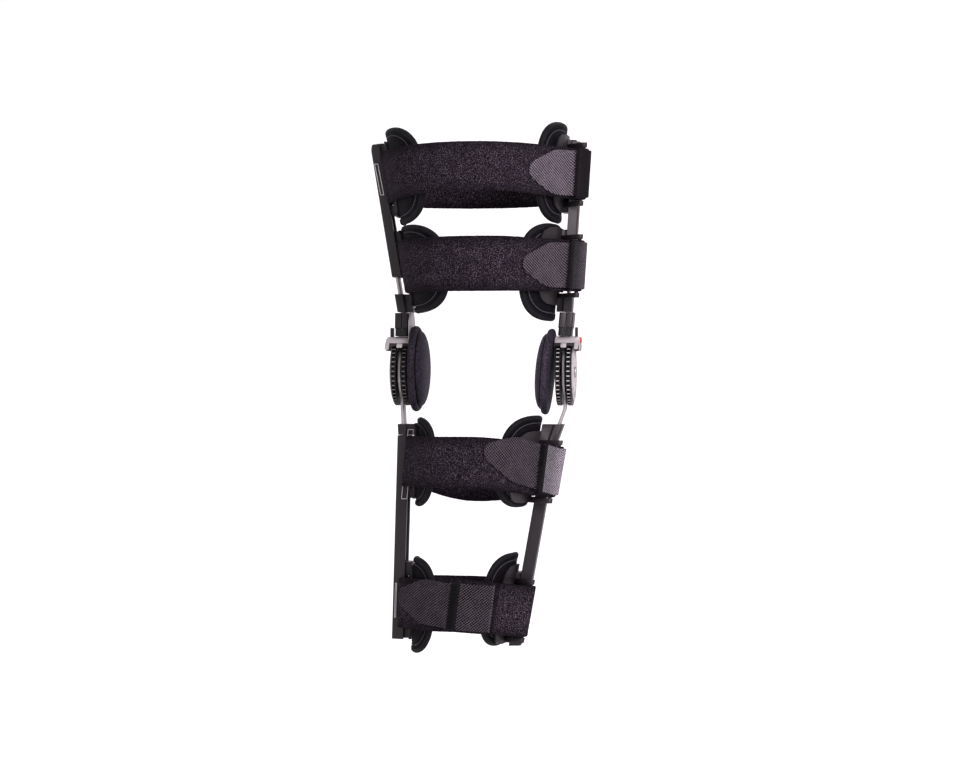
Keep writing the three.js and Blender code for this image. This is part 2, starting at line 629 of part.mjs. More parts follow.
// Saddle over both discs with a tongue between them, an inner ear, and an outer guide for the lock slide
function hingeCap(label) {
  const { thick, halfAngle, inner, outer, earHalf, earBottom } = CAP;
  const top = CAP_RADIUS + thick;
  const sector = (small, large, half) => [
    ...arc(large, 90 - half, 90 + half, 8), ...arc(small, 90 + half, 90 - half, 8),
  ];
  const ear = [
    [-earHalf, earBottom], [earHalf, earBottom],
    ...arc(top - thick / 2, 60, 120, 6),
  ];
  const guideFace = DIAL_FACE + GAP;
  const tongueHalf = DISC.halfSpace - GAP;
  const pieces = [
    sideways(sector(CAP_RADIUS, top, halfAngle), inner, outer),
    sideways(sector(TONGUE.radius, top - thick / 2, TONGUE.halfAngle), -tongueHalf, tongueHalf),
    sideways(ear, inner, -DISC_FACE - GAP),
    sideways(ear, guideFace, outer),
  ];
  if (label) {
    const crown = LABEL.top - LABEL.halfWidth / 2;
    const tongue = [[-LABEL.halfWidth, earBottom], [LABEL.halfWidth, earBottom], [LABEL.halfWidth, crown],
      [LABEL.halfWidth / 2, LABEL.top], [-LABEL.halfWidth / 2, LABEL.top], [-LABEL.halfWidth, crown]];
    pieces.push(sideways(tongue, -DISC_FACE - GAP - LABEL.thick, -DISC_FACE - GAP));
  }
  const slotHalf = SLIDE.halfWidth + GAP;
  const slotFace = guideFace + SLIDE.thick + 2 * GAP;
  const slot = sideways(rectangle(-slotHalf, 0, slotHalf, LABEL.top), guideFace - GAP, slotFace);
  const windowHalf = BUTTON.radius + 2 * GAP;
  const window = sideways(rectangle(-windowHalf, 0, windowHalf, LABEL.top), guideFace, outer + 1);
  return fromSolid(joined(pieces).subtract(toSolid(slot)).subtract(toSolid(window)));
}

function lockSlide() {
  const inner = DIAL_FACE + 2 * GAP;
  const outline = chamfered(SLIDE.halfWidth, (SLIDE.top - SLIDE.bottom) / 2, 1.5);
  return sideways(outline, inner, inner + SLIDE.thick).translate(0, 0, (SLIDE.top + SLIDE.bottom) / 2);
}

function lockButton() {
  const inner = DIAL_FACE + 3 * GAP + SLIDE.thick;
  const [r, h] = [BUTTON.radius, BUTTON.length];
  const profile = [[0, 0], [r, 0], [r, h * 0.6], [r * 0.8, h * 0.9], [0, h]];
  const lathe = new THREE.LatheGeometry(profile.map((point) => new THREE.Vector2(...point)), 12);
  return lathe.rotateZ(-Math.PI / 2).translate(inner, 0, BUTTON.z);
}

// Block that joins the hinge to the thigh bar, narrower at its neck
function hingeBlock(side) {
  const body = upright(chamfered(BLOCK.halfWidth, BLOCK.halfDepth, 1.5), BLOCK.neckTop, BLOCK.top);
  const neckOutline = chamfered(BLOCK.neckHalfWidth, BLOCK.neckHalfDepth, 1);
  const neck = upright(neckOutline, BLOCK_BOTTOM, BLOCK.neckTop + 1);
  const [x, y] = [BAR.halfThick + GAP, BAR.halfDepth + GAP];
  const slot = upright(rectangle(-x, -y, x, y), BLOCK_BOTTOM - 1, BLOCK.top + 1);
  const [solid, cut] = [[body, neck], [slot]].map((list) => (
    joined(list.map((geometry) => follow(geometry, 'thigh', side)))));
  return fromSolid(solid.subtract(cut));
}

function condylePad() {
  const profile = CONDYLE_PROFILE.map(({ radius, height }) => new THREE.Vector2(radius, height));
  const lathe = new THREE.LatheGeometry(profile, CONDYLE.segments);
  return lathe.rotateZ(Math.PI / 2);
}

// Assembly
function piece(name, geometry, finish) {
  const mesh = new THREE.Mesh(geometry, new THREE.MeshStandardMaterial(FINISH[finish]));
  mesh.name = name;
  return mesh;
}

const brace = new THREE.Group();
const thigh = new THREE.Group();
const calf = new THREE.Group();
brace.add(thigh, calf);
const frames = { thigh, calf };

for (const side of ['left', 'right']) {
  thigh.add(piece(`thigh_bar_${side}`, thighBar(side), 'steel'));
  thigh.add(piece(`hinge_block_${side}`, hingeBlock(side), 'plastic'));
  calf.add(piece(`calf_bar_${side}`, calfBar(side), 'steel'));
  for (const zone of ['thigh', 'calf']) {
    frames[zone].add(piece(`${zone}_sleeve_${side}`, sleeve(zone, side), 'plastic'));
  }

  const hinge = new THREE.Group();
  hinge.position.x = SIGN[side] * HINGE_X;
  hinge.scale.x = SIGN[side];
  hinge.add(piece(`hinge_disc_inner_${side}`, toothedDisc(-DISC_FACE, -DISC.halfSpace), 'disc'));
  hinge.add(piece(`hinge_disc_outer_${side}`, toothedDisc(DISC.halfSpace, DISC_FACE), 'disc'));
  hinge.add(piece(`hinge_dial_${side}`, hingeDial(), 'grey'));
  hinge.add(piece(`hinge_pin_${side}`, hingePin(), 'steel'));
  hinge.add(piece(`hinge_cap_${side}`, hingeCap(side === 'left'), 'grey'));
  hinge.add(piece(`lock_slide_${side}`, lockSlide(), 'plastic'));
  hinge.add(piece(`lock_button_${side}`, lockButton(), 'red'));

  const cushion = piece(`condyle_pad_${side}`, condylePad(), 'pad');
  cushion.position.set(CONDYLE[side].back - HINGE_X, 0, CONDYLE[side].rise);
  cushion.rotation.y = degToRad(CONDYLE[side].lean);
  hinge.add(cushion);
  thigh.add(hinge);
}

for (const row of CLIPS) {
  const level = LEVELS[row.level];
  const name = `${level.place}_${row.side}`;
  frames[level.zone].add(piece(`${level.zone}_clip_${name}`, clip(row, level), 'plastic'));
  frames[level.zone].add(piece(`${level.zone}_pad_${name}`, sidePad(row, level), 'pad'));
}

for (const level of LEVELS) {
  frames[level.zone].add(piece(`${level.zone}_strap_${level.place}`, strap(level), 'strap'));
  frames[level.zone].add(piece(`${level.zone}_tab_${level.place}`, tab(level), 'tab'));
}

export default brace;
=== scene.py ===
import math

import bmesh
import bpy
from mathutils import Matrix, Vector, noise


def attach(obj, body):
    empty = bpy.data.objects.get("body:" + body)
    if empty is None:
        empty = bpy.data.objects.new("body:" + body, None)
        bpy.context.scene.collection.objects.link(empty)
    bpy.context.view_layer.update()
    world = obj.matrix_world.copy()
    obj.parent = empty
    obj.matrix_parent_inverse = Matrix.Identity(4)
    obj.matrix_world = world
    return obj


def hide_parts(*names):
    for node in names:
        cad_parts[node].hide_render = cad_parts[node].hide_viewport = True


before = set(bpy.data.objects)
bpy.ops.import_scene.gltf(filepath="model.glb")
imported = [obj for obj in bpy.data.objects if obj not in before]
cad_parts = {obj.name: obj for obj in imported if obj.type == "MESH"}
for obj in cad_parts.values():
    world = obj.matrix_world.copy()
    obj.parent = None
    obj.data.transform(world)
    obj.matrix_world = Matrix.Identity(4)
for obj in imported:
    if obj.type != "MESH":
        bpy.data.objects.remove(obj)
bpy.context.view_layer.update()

bl_info = {
    "name": "Hinged knee brace",
    "version": (1, 0, 0),
    "blender": (4, 5, 0),
    "location": "3D View > Sidebar > Knee brace",
    "description": "Dresses the solids of a hinged knee brace in webbing, knit, moulded plastic and steel",
    "category": "Object",
}

# Sizes are in millimetres until a mesh is made. -Y is the front of the leg, +Z is up the thigh.
MM = 0.001
GAP = 0.3
SIGN = {"left": -1, "right": 1}

# Centre line of each upright, and the ends of its sleeve
UPRIGHTS = {
    ("thigh", "left"): {"z0": 60, "x0": -81.1, "z1": 222, "x1": -108.2, "low": 95, "high": 228},
    ("thigh", "right"): {"z0": 60, "x0": 83.9, "z1": 222, "x1": 94.4, "low": 95, "high": 228},
    ("calf", "left"): {"z0": -64, "x0": -80.3, "z1": -264, "x1": -86.1, "low": -267, "high": -63.4},
    ("calf", "right"): {"z0": -77, "x0": 66.4, "z1": -268, "x1": 32.6, "low": -272, "high": -78},
}
SLEEVE_HALF_WIDTH = {"thigh": 5, "calf": 6}
SLEEVE_HALF_DEPTH = 12
SLEEVE_MOUTH = 7.5
SLEEVE_ROUND = 2.4
SLEEVE_FALL = 2.1
SLEEVE_TOP_ROUND = 9
WINDOW_DEPTH = 4.2
BAR_HALF_THICK = 1.3
BAR_HALF_DEPTH = 9.25
BAR_BEND = 36

# Braced leg outside the pads: depth in front of and behind the hinge plane at two heights
LEG = {
    "thigh": {"z0": 104, "front0": 82.4, "back0": 52.4, "z1": 194, "front1": 88.4, "back1": 66.4},
    "calf": {"z0": -95, "front0": 61.4, "back0": 44.4, "z1": -233, "front1": 48.4, "back1": 41.4},
}

# Strap levels: heights round the leg, the ring post, the returned end and the hook tab on it.
# hem: end of the sewn hem in from the left sleeve's middle, its lean, and its seam's station from the end.
# tone: how light the tab is, partly its fading and partly painted sheen. jaw: finish of the tab round the
# post.
# band: sewn band past the strap's end.
LEVELS = (
    {"zone": "thigh", "place": "upper", "right": 194, "left": 193, "front": 196.7, "back": 194,
     "front_width": 46.6, "post_out": 7.4, "fold": 10, "start": 0, "free": 68, "tip": 68,
     "slope": 0, "turn": 0, "hem": {"end": 5.4, "lean": 0, "seam": 0},
     "tone": "light_twill", "jaw": "black_tape", "band": (-1.5, 3.4)},
    {"zone": "thigh", "place": "lower", "right": 104, "left": 104, "front": 103.6, "back": 116,
     "front_width": 53, "post_out": 9.2, "fold": 13, "start": 0, "free": 68.7, "tip": 68.7,
     "slope": 0, "turn": 0, "hem": None,
     "tone": "grey_twill", "jaw": "grey_tape", "band": (-1.5, 3.4)},
    {"zone": "calf", "place": "upper", "right": -98.5, "left": -89, "front": -88, "back": -107,
     "front_width": 50, "post_out": 10.2, "fold": 16, "start": 0, "free": 80, "tip": 80,
     "slope": 0.28, "turn": 0.06, "hem": {"end": 3.2, "lean": 1.7, "seam": 5},
     "tone": "mid_twill", "jaw": "light_tape", "band": (-1.5, 4.6)},
    {"zone": "calf", "place": "lower", "right": -236, "left": -230, "front": -229, "back": -233,
     "front_width": 51, "post_out": 6.8, "fold": 80.5, "start": 39, "free": 107, "tip": 141,
     "slope": 0.1, "turn": 0.08, "hem": {"end": 1.5, "lean": 0, "seam": 0},
     "tone": "dark_twill", "jaw": "dark_twill", "band": (-9.5, -1.5)},
)

# Side pads: degrees forward and behind the upright, and heights of the ends
PADS = (
    {"level": 0, "side": "left", "forward": 57, "behind": 22, "low": 146, "high": 241},
    {"level": 0, "side": "right", "forward": 40, "behind": 22, "low": 147, "high": 246},
    {"level": 1, "side": "left", "forward": 69, "behind": 28, "low": 58, "high": 145},
    {"level": 1, "side": "right", "forward": 54, "behind": 28, "low": 50, "high": 146},
    {"level": 2, "side": "left", "forward": 51, "behind": 30, "low": -134, "high": -45},
    {"level": 2, "side": "right", "forward": 61, "behind": 30, "low": -134, "high": -43},
    {"level": 3, "side": "left", "forward": 62, "behind": 32, "low": -280, "high": -184},
    {"level": 3, "side": "right", "forward": 58, "behind": 32, "low": -272, "high": -179},
)
PAD_ROUNDNESS = 3.1
PAD_HALF = 46
PADDLE_THICK = 2.5
PAD_GAP = 0.6

STRAP_WIDTH = 50
STRAP_THICK = 3
STRAP_LIFT = 0.6
STRAP_START = -6
STRAP_MIDDLE = STRAP_LIFT + STRAP_THICK / 2
STRAP_COLUMNS = 26
POST_RADIUS = 2
POST_Y = -24
WRAP_RADIUS = POST_RADIUS + GAP + STRAP_THICK / 2
RETURN_LIFT = 3.4
RETURN_SETTLE = 30
HEM_THICK = 2.7
HEM_Y = -SLEEVE_HALF_DEPTH - GAP - STRAP_THICK / 2
HEM_STEPS = 12
# Degrees before the hem leaves the leg, where its first stations are
HEM_LEAD = (9, 6, 3)

TAB_THICK = 2
TAB_GAP = 0.6
TAB_HALF = 22
TAB_JAW_HALF = 23
TAB_COLUMNS = 18
TAB_STEP = 8
TAB_TIP_LENGTH = 33
TAB_TIP_STEPS = 16
# Nose of a tab: its radius, where it meets the straight flanks, their slope, the rounding of the shoulders
TAB_NOSE = {"radius": 11, "reach": 6.08, "slope": 0.5, "shoulder": 4}
TAB_NOSE_STATIONS = (1.4, 0.8, 0.4, 0.15, 0.0)
# Along a tab from the end of its jaw: where the tape is palest, painted lit on its bend, and where its
# painted shade by the seam is full
JAW_PAINTED_LIT = 6
JAW_PAINTED_SHADE = 22
# Stitches over a tab's band: how far in and past it they reach, how uneven their reach and height are,
# how far apart in the noise they stand, and their radius
SEAM = {"in": 2.3, "past": 0.9, "ragged": 1.4, "rise": 0.4, "apart": 1.7, "layer": 3.0, "radius": 0.5}

HINGE_X = 81.6
DISC_RADIUS = 33.5
DISC_THICK = 5
DISC_HALF_SPACE = 2.7
DISC_FACE = DISC_HALF_SPACE + DISC_THICK
DIAL_THICK = 1.4
PIN_RADIUS = 3.8
CONDYLE = {"left": {"back": 72, "lean": 0, "rise": 3.4}, "right": {"back": 68.6, "lean": 5, "rise": 0}}


def linear(code):
    """Linear colour of an sRGB hex code."""
    channels = (int(code[i:i + 2], 16) / 255 for i in (0, 2, 4))
    return tuple(c / 12.92 if c <= 0.04045 else ((c + 0.055) / 1.055) ** 2.4 for c in channels)


def lerp(a, b, share):
    return a + (b - a) * share


def smoothstep(value, low, high):
    share = min(1, max(0, (value - low) / (high - low)))
    return share * share * (3 - 2 * share)


def colour(name, description, code):
    return bpy.props.FloatVectorProperty(
        name=name, description=description, subtype="COLOR", size=3, min=0, max=1, default=linear(code))


def length(name, description, default):
    return bpy.props.FloatProperty(
        name=name, description=description, default=default * MM, min=0, unit="LENGTH", precision=4)


class KNEEBRACE_PG_sizes(bpy.types.PropertyGroup):
    """Sizes of the details that the solids leave out"""
    pile: length("Pile height", "How far the loop pile of the straps stands up and down", 0.22)
    weave: length("Weave pitch", "Distance between the diagonal ribs of the hook tabs", 2.15)
    stitch: length("Stitch pitch", "Distance between the stitches that hold a hook tab", 1.5)
    crown: length("Pad crown", "How far a side pad may swell towards the leg", 2.0)
    fillet: length("Fillet", "Radius of the moulded edges", 0.5)
    pockets: bpy.props.IntProperty(
        name="Disc pockets", description="Stop pockets round the rim of a hinge disc", default=44, min=12)


class KNEEBRACE_PG_colours(bpy.types.PropertyGroup):
    """Colours of the finishes"""
    nylon: colour("Nylon", "Charcoal of the clips, sleeves and blocks", "191518")
    disc: colour("Disc", "Black of the hinge discs", "0a090a")
    # The ribs' light grey is partly rubbed plastic and partly a painted highlight
    rib: colour("Rib", "Rubbed grey of the ribs between the disc's pockets", "9a9698")
    cap: colour("Cap", "Light warm grey of the caps and dials", "928d8e")
    steel: colour("Steel", "Brushed steel of the bars and pins", "9b9799")
    lock: colour("Lock", "Red of the lock buttons", "a01c22")
    knit: colour("Knit", "Navy black of the pad covers", "0b090e")
    dome: colour("Dome", "Charcoal of the condyle pads' domes", "211d25")
    binding: colour("Binding", "Satin black of the pad bindings", "0c0a0e")
    piping: colour("Piping", "Grey of the piped seams", "37333a")
    pile: colour("Pile", "Warm black of the straps", "0f0b10")
    lint: colour("Lint", "Pale fibre ends in the pile", "5e555f")
    tab: colour("Tab", "Grey mauve of the hook tabs", "403a40")
    # The tape colours are those of the painted-lit bend; the tapes are painted darker towards their seams
    tape: colour("Tape", "Dark grey of the woven tape round a ring post", "3c373c")
    light_tape: colour("Light tape", "Light grey of the woven tape round a ring post", "6d686e")
    thread: colour("Thread", "Black of the stitching", "0b090b")
    paper: colour("Paper", "White of the floor", "f4f4f4")


def sizes():
    return bpy.context.scene.knee_brace_sizes


def colours():
    return bpy.context.scene.knee_brace_colours


def feed(tree, node, inputs):
    """Feed a node's inputs, by name or identifier, from sockets or plain values."""
    for key, value in inputs.items():
        socket = next(s for s in node.inputs if key in (s.identifier, s.name))
        if isinstance(value, bpy.types.NodeSocket):
            tree.links.new(value, socket)
        else:
            socket.default_value = value


def add(tree, kind, inputs=None, out=0, **settings):
    """Add one node with its settings and links, and give back one of its outputs."""
    made = tree.nodes.new("ShaderNode" + kind)
    for key, value in settings.items():
        setattr(made, key, value)
    feed(tree, made, inputs or {})
    return made.outputs[out]


# A mix of two colours, which is the third output of its node
MIX = {"data_type": "RGBA", "out": 2}


def shade(rgb, share):
    return tuple(min(1, c * share) for c in rgb) + (1,)


def per_mm(size):
    """Texture scale that gives a pattern of this many millimetres in object coordinates."""
    return 1 / (size * MM)


def moulded_nylon(tree, rgb, spread=0.25, grain=0.5, bump=0.08, roughness=0.46):
    """Moulded nylon: satin, with a fine spark-eroded grain and slightly uneven gloss from handling."""
    place = add(tree, "TexCoord", out="Object")
    cloud = add(tree, "TexNoise", {"Vector": place, "Scale": per_mm(18), "Detail": 4})
    fine = add(tree, "TexNoise", {"Vector": place, "Scale": per_mm(grain), "Detail": 2})
    tone = {"Factor_Float": cloud, "A_Color": shade(rgb, 1 - spread), "B_Color": shade(rgb, 1 + spread)}
    gloss = {"Value": cloud, "To Min": roughness - 0.07, "To Max": roughness + 0.1}
    return {
        "IOR": 1.53, "Specular IOR Level": 0.2, "Base Color": add(tree, "Mix", tone, **MIX),
        "Roughness": add(tree, "MapRange", gloss),
        "Normal": add(tree, "Bump", {"Height": fine, "Strength": bump, "Distance": 0.0003})}


def brushed_steel(tree, rgb):
    """Brushed spring steel: bright, with scratches along the bar that blur the reflection across it."""
    place = add(tree, "TexCoord", out="Object")
    drawn = add(tree, "Mapping", {"Vector": place, "Scale": (per_mm(0.5), per_mm(0.5), per_mm(14))})
    lines = add(tree, "TexNoise", {"Vector": drawn, "Scale": 1.0, "Detail": 3})
    tone = {"Factor_Float": lines, "A_Color": shade(rgb, 0.78), "B_Color": shade(rgb, 1.1)}
    return {
        "Metallic": 1.0, "Base Color": add(tree, "Mix", tone, **MIX),
        "Roughness": add(tree, "MapRange", {"Value": lines, "To Min": 0.45, "To Max": 0.62}),
        "Normal": add(tree, "Bump", {"Height": lines, "Strength": 0.12, "Distance": 0.0002})}


def loop_pile(tree, rgb, brushed=0.0):
    """Brushed nylon loop pile: matt and dark, pale fibre ends in the loops; brushed above zero paints it
    paler as light, below zero darker as shade.
    """
    lint = shade(colours().lint, 1)
    place = add(tree, "TexCoord", out="Object")
    # Real loops are 0.3 mm across; 0.75 mm is the finest that shows in the render.
    loops = add(tree, "TexNoise", {"Vector": place, "Scale": per_mm(0.75), "Detail": 2})
    patches = add(tree, "TexNoise", {"Vector": place, "Scale": per_mm(11), "Detail": 4})
    fibres = add(tree, "ValToRGB", {"Fac": loops})
    stops = fibres.node.color_ramp.elements
    stops.new(0.52)
    for stop, position, tint in zip(stops, (0.3, 0.52, 0.71), (shade(rgb, 0.25), shade(rgb, 1.1), lint)):
        stop.position = position
        stop.color = tint
    worn = add(tree, "MapRange", {"Value": patches, "From Min": 0.3, "From Max": 0.7,
                                  "To Min": 0.45 - brushed, "To Max": 0.1 - brushed})
    tone = add(tree, "Mix", {"Factor_Float": worn, "A_Color": fibres, "B_Color": shade(rgb, 0.8)}, **MIX)
    across = add(tree, "SeparateXYZ", {"Vector": add(tree, "UVMap", uv_map="UVMap")}, "Y")
    from_middle = add(tree, "Math", {"Value": across}, operation="ABSOLUTE")
    half = STRAP_WIDTH / 2 * MM
    # Darker towards both edges of the strap
    toward_edge = add(tree, "MapRange", {
        "Value": from_middle, "From Min": half - 11 * MM, "From Max": half, "To Max": 0.7})
    edged = {"Factor_Float": toward_edge, "A_Color": tone, "B_Color": shade(rgb, 0.5)}
    return {
        "Roughness": 1.0, "IOR": 1.5, "Specular IOR Level": 0.04, "Sheen Weight": 0.03,
        "Sheen Roughness": 0.5, "Sheen Tint": lint, "Base Color": add(tree, "Mix", edged, **MIX),
        "Normal": add(tree, "Bump", {"Height": loops, "Strength": 0.4, "Distance": 0.0008})}


# Height of the weave and its unevenness together where a twill changes from dark to bright
TWILL_MIDDLE = 0.985


def twill_tape(tree, rgb, pitch=1.0, contrast=0.9, lay=52, soft=0.53, painted_seam_shade=0.0):
    """Woven nylon tape: diagonal ribs that are bright on their crowns and dark between, with a soft sheen.

    painted_seam_shade is how much darker the tape is painted from the bend round its post to the seam, as
    shade, leaving the bend painted light.
    """
    uv = add(tree, "UVMap", uv_map="UVMap")
    wobble = add(tree, "TexNoise", {"Vector": uv, "Scale": per_mm(1.6), "Detail": 2})
    fade = add(tree, "TexNoise", {"Vector": uv, "Scale": per_mm(16), "Detail": 2})
    # Real ribs are about 1 mm apart, too fine to show. A wave repeats every 0.314 of its scaled length.
    repeat = 0.314 / (sizes().weave * pitch)
    along_ribs = add(tree, "Mapping", {"Vector": uv, "Rotation": (0, 0, math.radians(lay))})
    ribs = add(tree, "TexWave", {
        "Vector": along_ribs, "Scale": repeat, "Distortion": 0.9, "Detail": 2, "Detail Scale": 2.0}, "Fac")
    crossed = add(tree, "Mapping", {"Vector": uv, "Rotation": (0, 0, math.radians(lay - 90))})
    threads = add(tree, "TexWave", {
        "Vector": crossed, "Scale": repeat, "Distortion": 1.2, "Detail": 1}, "Fac")
    crowns = add(tree, "Math", {
        "Value": threads, "Value_001": 0.7, "Value_002": 0.3}, operation="MULTIPLY_ADD")
    height = add(tree, "Math", {"Value": ribs, "Value_001": crowns}, operation="MULTIPLY")
    uneven = add(tree, "Math", {
        "Value": fade, "Value_001": 0.35, "Value_002": wobble}, operation="MULTIPLY_ADD")
    speck = add(tree, "Math", {"Value": height, "Value_001": uneven}, operation="ADD")
    share = add(tree, "MapRange", {
        "Value": speck, "From Min": TWILL_MIDDLE - soft / 2, "From Max": TWILL_MIDDLE + soft / 2})
    tone = add(tree, "Mix", {
        "Factor_Float": share, "A_Color": shade(rgb, 1 - contrast),
        "B_Color": shade(rgb, 1 + 1.7 * contrast)}, **MIX)
    # Painted shade from the bend round the post to the seam, which leaves the bend painted light
    if painted_seam_shade:
        along = add(tree, "SeparateXYZ", {"Vector": uv}, "X")
        seam_shade_share = add(tree, "MapRange", {
            "Value": along, "From Min": JAW_PAINTED_LIT * MM, "From Max": JAW_PAINTED_SHADE * MM, "To Max": painted_seam_shade})
        tone = add(tree, "Mix", {
            "Factor_Float": seam_shade_share, "A_Color": tone, "B_Color": shade((1, 1, 1), 0.25)},
            blend_type="MULTIPLY", **MIX)
    return {
        "Roughness": 0.8, "IOR": 1.5, "Specular IOR Level": 0.07, "Sheen Weight": 0.02,
        "Sheen Roughness": 0.4, "Base Color": tone,
        "Normal": add(tree, "Bump", {"Height": height, "Strength": 0.4, "Distance": 0.0005})}


def spacer_knit(tree, rgb, loop=1.7, sheen=0.02, specular=0.05):
    """Knitted nylon cover over foam: matt navy black, a grain of small loops, bluish sheen at the edges."""
    place = add(tree, "TexCoord", out="Object")
    loops = add(tree, "TexVoronoi", {"Vector": place, "Scale": per_mm(loop)})
    cloud = add(tree, "TexNoise", {"Vector": place, "Scale": per_mm(14), "Detail": 5})
    grain = add(tree, "MapRange", {"Value": loops, "From Max": 0.8, "To Min": 1.0, "To Max": 0.0})
    mixed = add(tree, "Math", {"Value": grain, "Value_001": cloud}, operation="MULTIPLY")
    tone = {"Factor_Float": mixed, "A_Color": shade(rgb, 0.3), "B_Color": shade(rgb, 2.7)}
    return {
        "Roughness": 0.7, "IOR": 1.5, "Specular IOR Level": specular, "Sheen Weight": sheen,
        "Sheen Roughness": 0.35, "Sheen Tint": shade(linear("9a98b8"), 1),
        "Base Color": add(tree, "Mix", tone, **MIX),
        "Normal": add(tree, "Bump", {"Height": grain, "Strength": 0.3, "Distance": 0.0005})}


def matt_paper(tree, rgb):
    """Matt white paper: even, with the faintest cloud in its tone."""
    place = add(tree, "TexCoord", out="Object")
    cloud = add(tree, "TexNoise", {"Vector": place, "Scale": 3.0, "Detail": 2})
    tone = {"Factor_Float": cloud, "A_Color": shade(rgb, 1), "B_Color": shade(linear("fafafa"), 1)}
    return {"Roughness": 0.9, "Base Color": add(tree, "Mix", tone, **MIX)}


ACETAL = {"grain": 0.7, "bump": 0.05, "roughness": 0.42}
ABS = {"grain": 0.4, "bump": 0.04}
TAPE = {"pitch": 0.8, "contrast": 0.8}
UNFADED = {"contrast": 1.0, "lay": -48, "soft": 0.2}
# Each finish: how it is made, the material's name, its colour, how light it is, and what isn't as usual
FINISHES = {
    "nylon": (moulded_nylon, "moulded_charcoal_nylon", "nylon", 1, {}),
    "disc": (moulded_nylon, "moulded_black_acetal", "disc", 1, {"spread": 0.2, **ACETAL}),
    # Ribs: rubbed grey with a painted highlight
    "rib": (moulded_nylon, "rubbed_acetal_ribs", "rib", 1, {"spread": 0.35, **ACETAL}),
    # The left hinge's ribs: the same ribs, painted darker as shade
    "dark_rib": (moulded_nylon, "less_rubbed_ribs", "rib", 0.28, {"spread": 0.35, **ACETAL}),
    "cap": (moulded_nylon, "moulded_light_grey_abs", "cap", 1, {"spread": 0.08, "roughness": 0.4, **ABS}),
    # The cap's own light grey, painted dark as shade on its ends below the beads
    "painted_shade_apron": (moulded_nylon, "moulded_dark_grey_abs", "cap", 0.07, {"spread": 0.1, "roughness": 0.45, **ABS}),
    "lock": (moulded_nylon, "moulded_red_abs", "lock", 1,
             {"spread": 0.1, "grain": 0.6, "bump": 0.03, "roughness": 0.24}),
    "mark": (moulded_nylon, "printed_dark_grey_marks", "nylon", 1,
             {"spread": 0.1, "grain": 0.6, "bump": 0.02, "roughness": 0.5}),
    "steel": (brushed_steel, "brushed_spring_steel", "steel", 1, {}),
    "pile": (loop_pile, "nylon_loop_pile", "pile", 1, {}),
    # Pile on each strap's turn and return, painted paler as light
    "brushed_pile": (loop_pile, "brushed_up_loop_pile", "pile", 1, {"brushed": 0.3}),
    # Pile painted darker as shade, beside the end of a tab that lies on the strap
    "shaded_pile": (loop_pile, "pressed_flat_loop_pile", "pile", 1, {"brushed": -0.45}),
    # Tab tones, lighter the higher the tab: partly fading, partly painted sheen
    "light_twill": (twill_tape, "faded_hook_tab_twill", "tab", 0.86, {}),
    "grey_twill": (twill_tape, "woven_hook_tab_twill", "tab", 0.52, {}),
    "mid_twill": (twill_tape, "washed_hook_tab_twill", "tab", 0.39, {}),
    "dark_twill": (twill_tape, "unfaded_hook_tab_twill", "tab", 0.32, UNFADED),
    # Jaw tapes: painted light on the bend round the post, painted shade towards the seam
    "grey_tape": (twill_tape, "woven_dark_grey_tape", "tape", 1, {"painted_seam_shade": 1.0, **TAPE}),
    "light_tape": (twill_tape, "woven_light_grey_tape", "light_tape", 1, {"painted_seam_shade": 0.8, **TAPE}),
    "black_tape": (twill_tape, "woven_black_tape", "thread", 1, {"pitch": 0.8, "contrast": 0.5}),
    "seam_tape": (twill_tape, "dark_tape_under_stitches", "tab", 0.09, {}),
    "thread": (spacer_knit, "bonded_black_thread", "thread", 1, {"loop": 0.6}),
    "knit": (spacer_knit, "knitted_nylon_pad_cover", "knit", 1, {}),
    "backing": (spacer_knit, "brushed_knit_backing", "dome", 1.15, {"loop": 1.9, "sheen": 0.04}),
    "dome": (spacer_knit, "brushed_knit_dome_cover", "dome", 1, {"loop": 1.9, "sheen": 0.08}),
    "binding": (spacer_knit, "satin_nylon_binding", "binding", 1,
                {"loop": 0.8, "sheen": 0.03, "specular": 0.12}),
    "piping": (spacer_knit, "corded_grey_piping", "piping", 1,
               {"loop": 0.7, "sheen": 0.05, "specular": 0.2}),
    "paper": (matt_paper, "matt_white_paper", "paper", 1, {}),
}


def material(key):
    """Material of a finish, made when it is first asked for."""
    make, name, tint, share, more = FINISHES[key]
    made = bpy.data.materials.get(name)
    if made is None:
        made = bpy.data.materials.new(name)
        made.use_nodes = True
        tree = made.node_tree
        rgb = shade(getattr(colours(), tint), share)[:3]
        feed(tree, tree.nodes["Principled BSDF"], make(tree, rgb, **more))
    return made


def mesh_piece(name, points, faces, keys, slots=None, uvs=None):
    """Object from points in millimetres, faces, finish keys, each face's finish number, and UVs in metres."""
    mesh = bpy.data.meshes.new(name)
    mesh.from_pydata([Vector(point) * MM for point in points], [], faces)
    for key in keys:
        mesh.materials.append(material(key))
    if slots:
        mesh.polygons.foreach_set("material_index", slots)
    if uvs:
        layer = mesh.uv_layers.new(name="UVMap")
        for loop in mesh.loops:
            layer.data[loop.index].uv = uvs[loop.vertex_index]
    mesh.validate()
    reshape(mesh, lambda shape: bmesh.ops.recalc_face_normals(shape, faces=shape.faces))
    mesh.shade_smooth()
    return linked(name, mesh)


def linked(name, data):
    """New object in the scene."""
    made = bpy.data.objects.new(name, data)
    bpy.context.scene.collection.objects.link(made)
    return made


def reshape(mesh, change):
    """Change a mesh through its editing form."""
    shape = bmesh.new()
    shape.from_mesh(mesh)
    change(shape)
    shape.to_mesh(mesh)
    shape.free()


def joined(name, pieces):
    """One object from several, keeping their finishes."""
    first = pieces[0]
    with bpy.context.temp_override(
            active_object=first, object=first, selected_objects=pieces, selected_editable_objects=pieces):
        bpy.ops.object.join()
    first.name = name
    return first


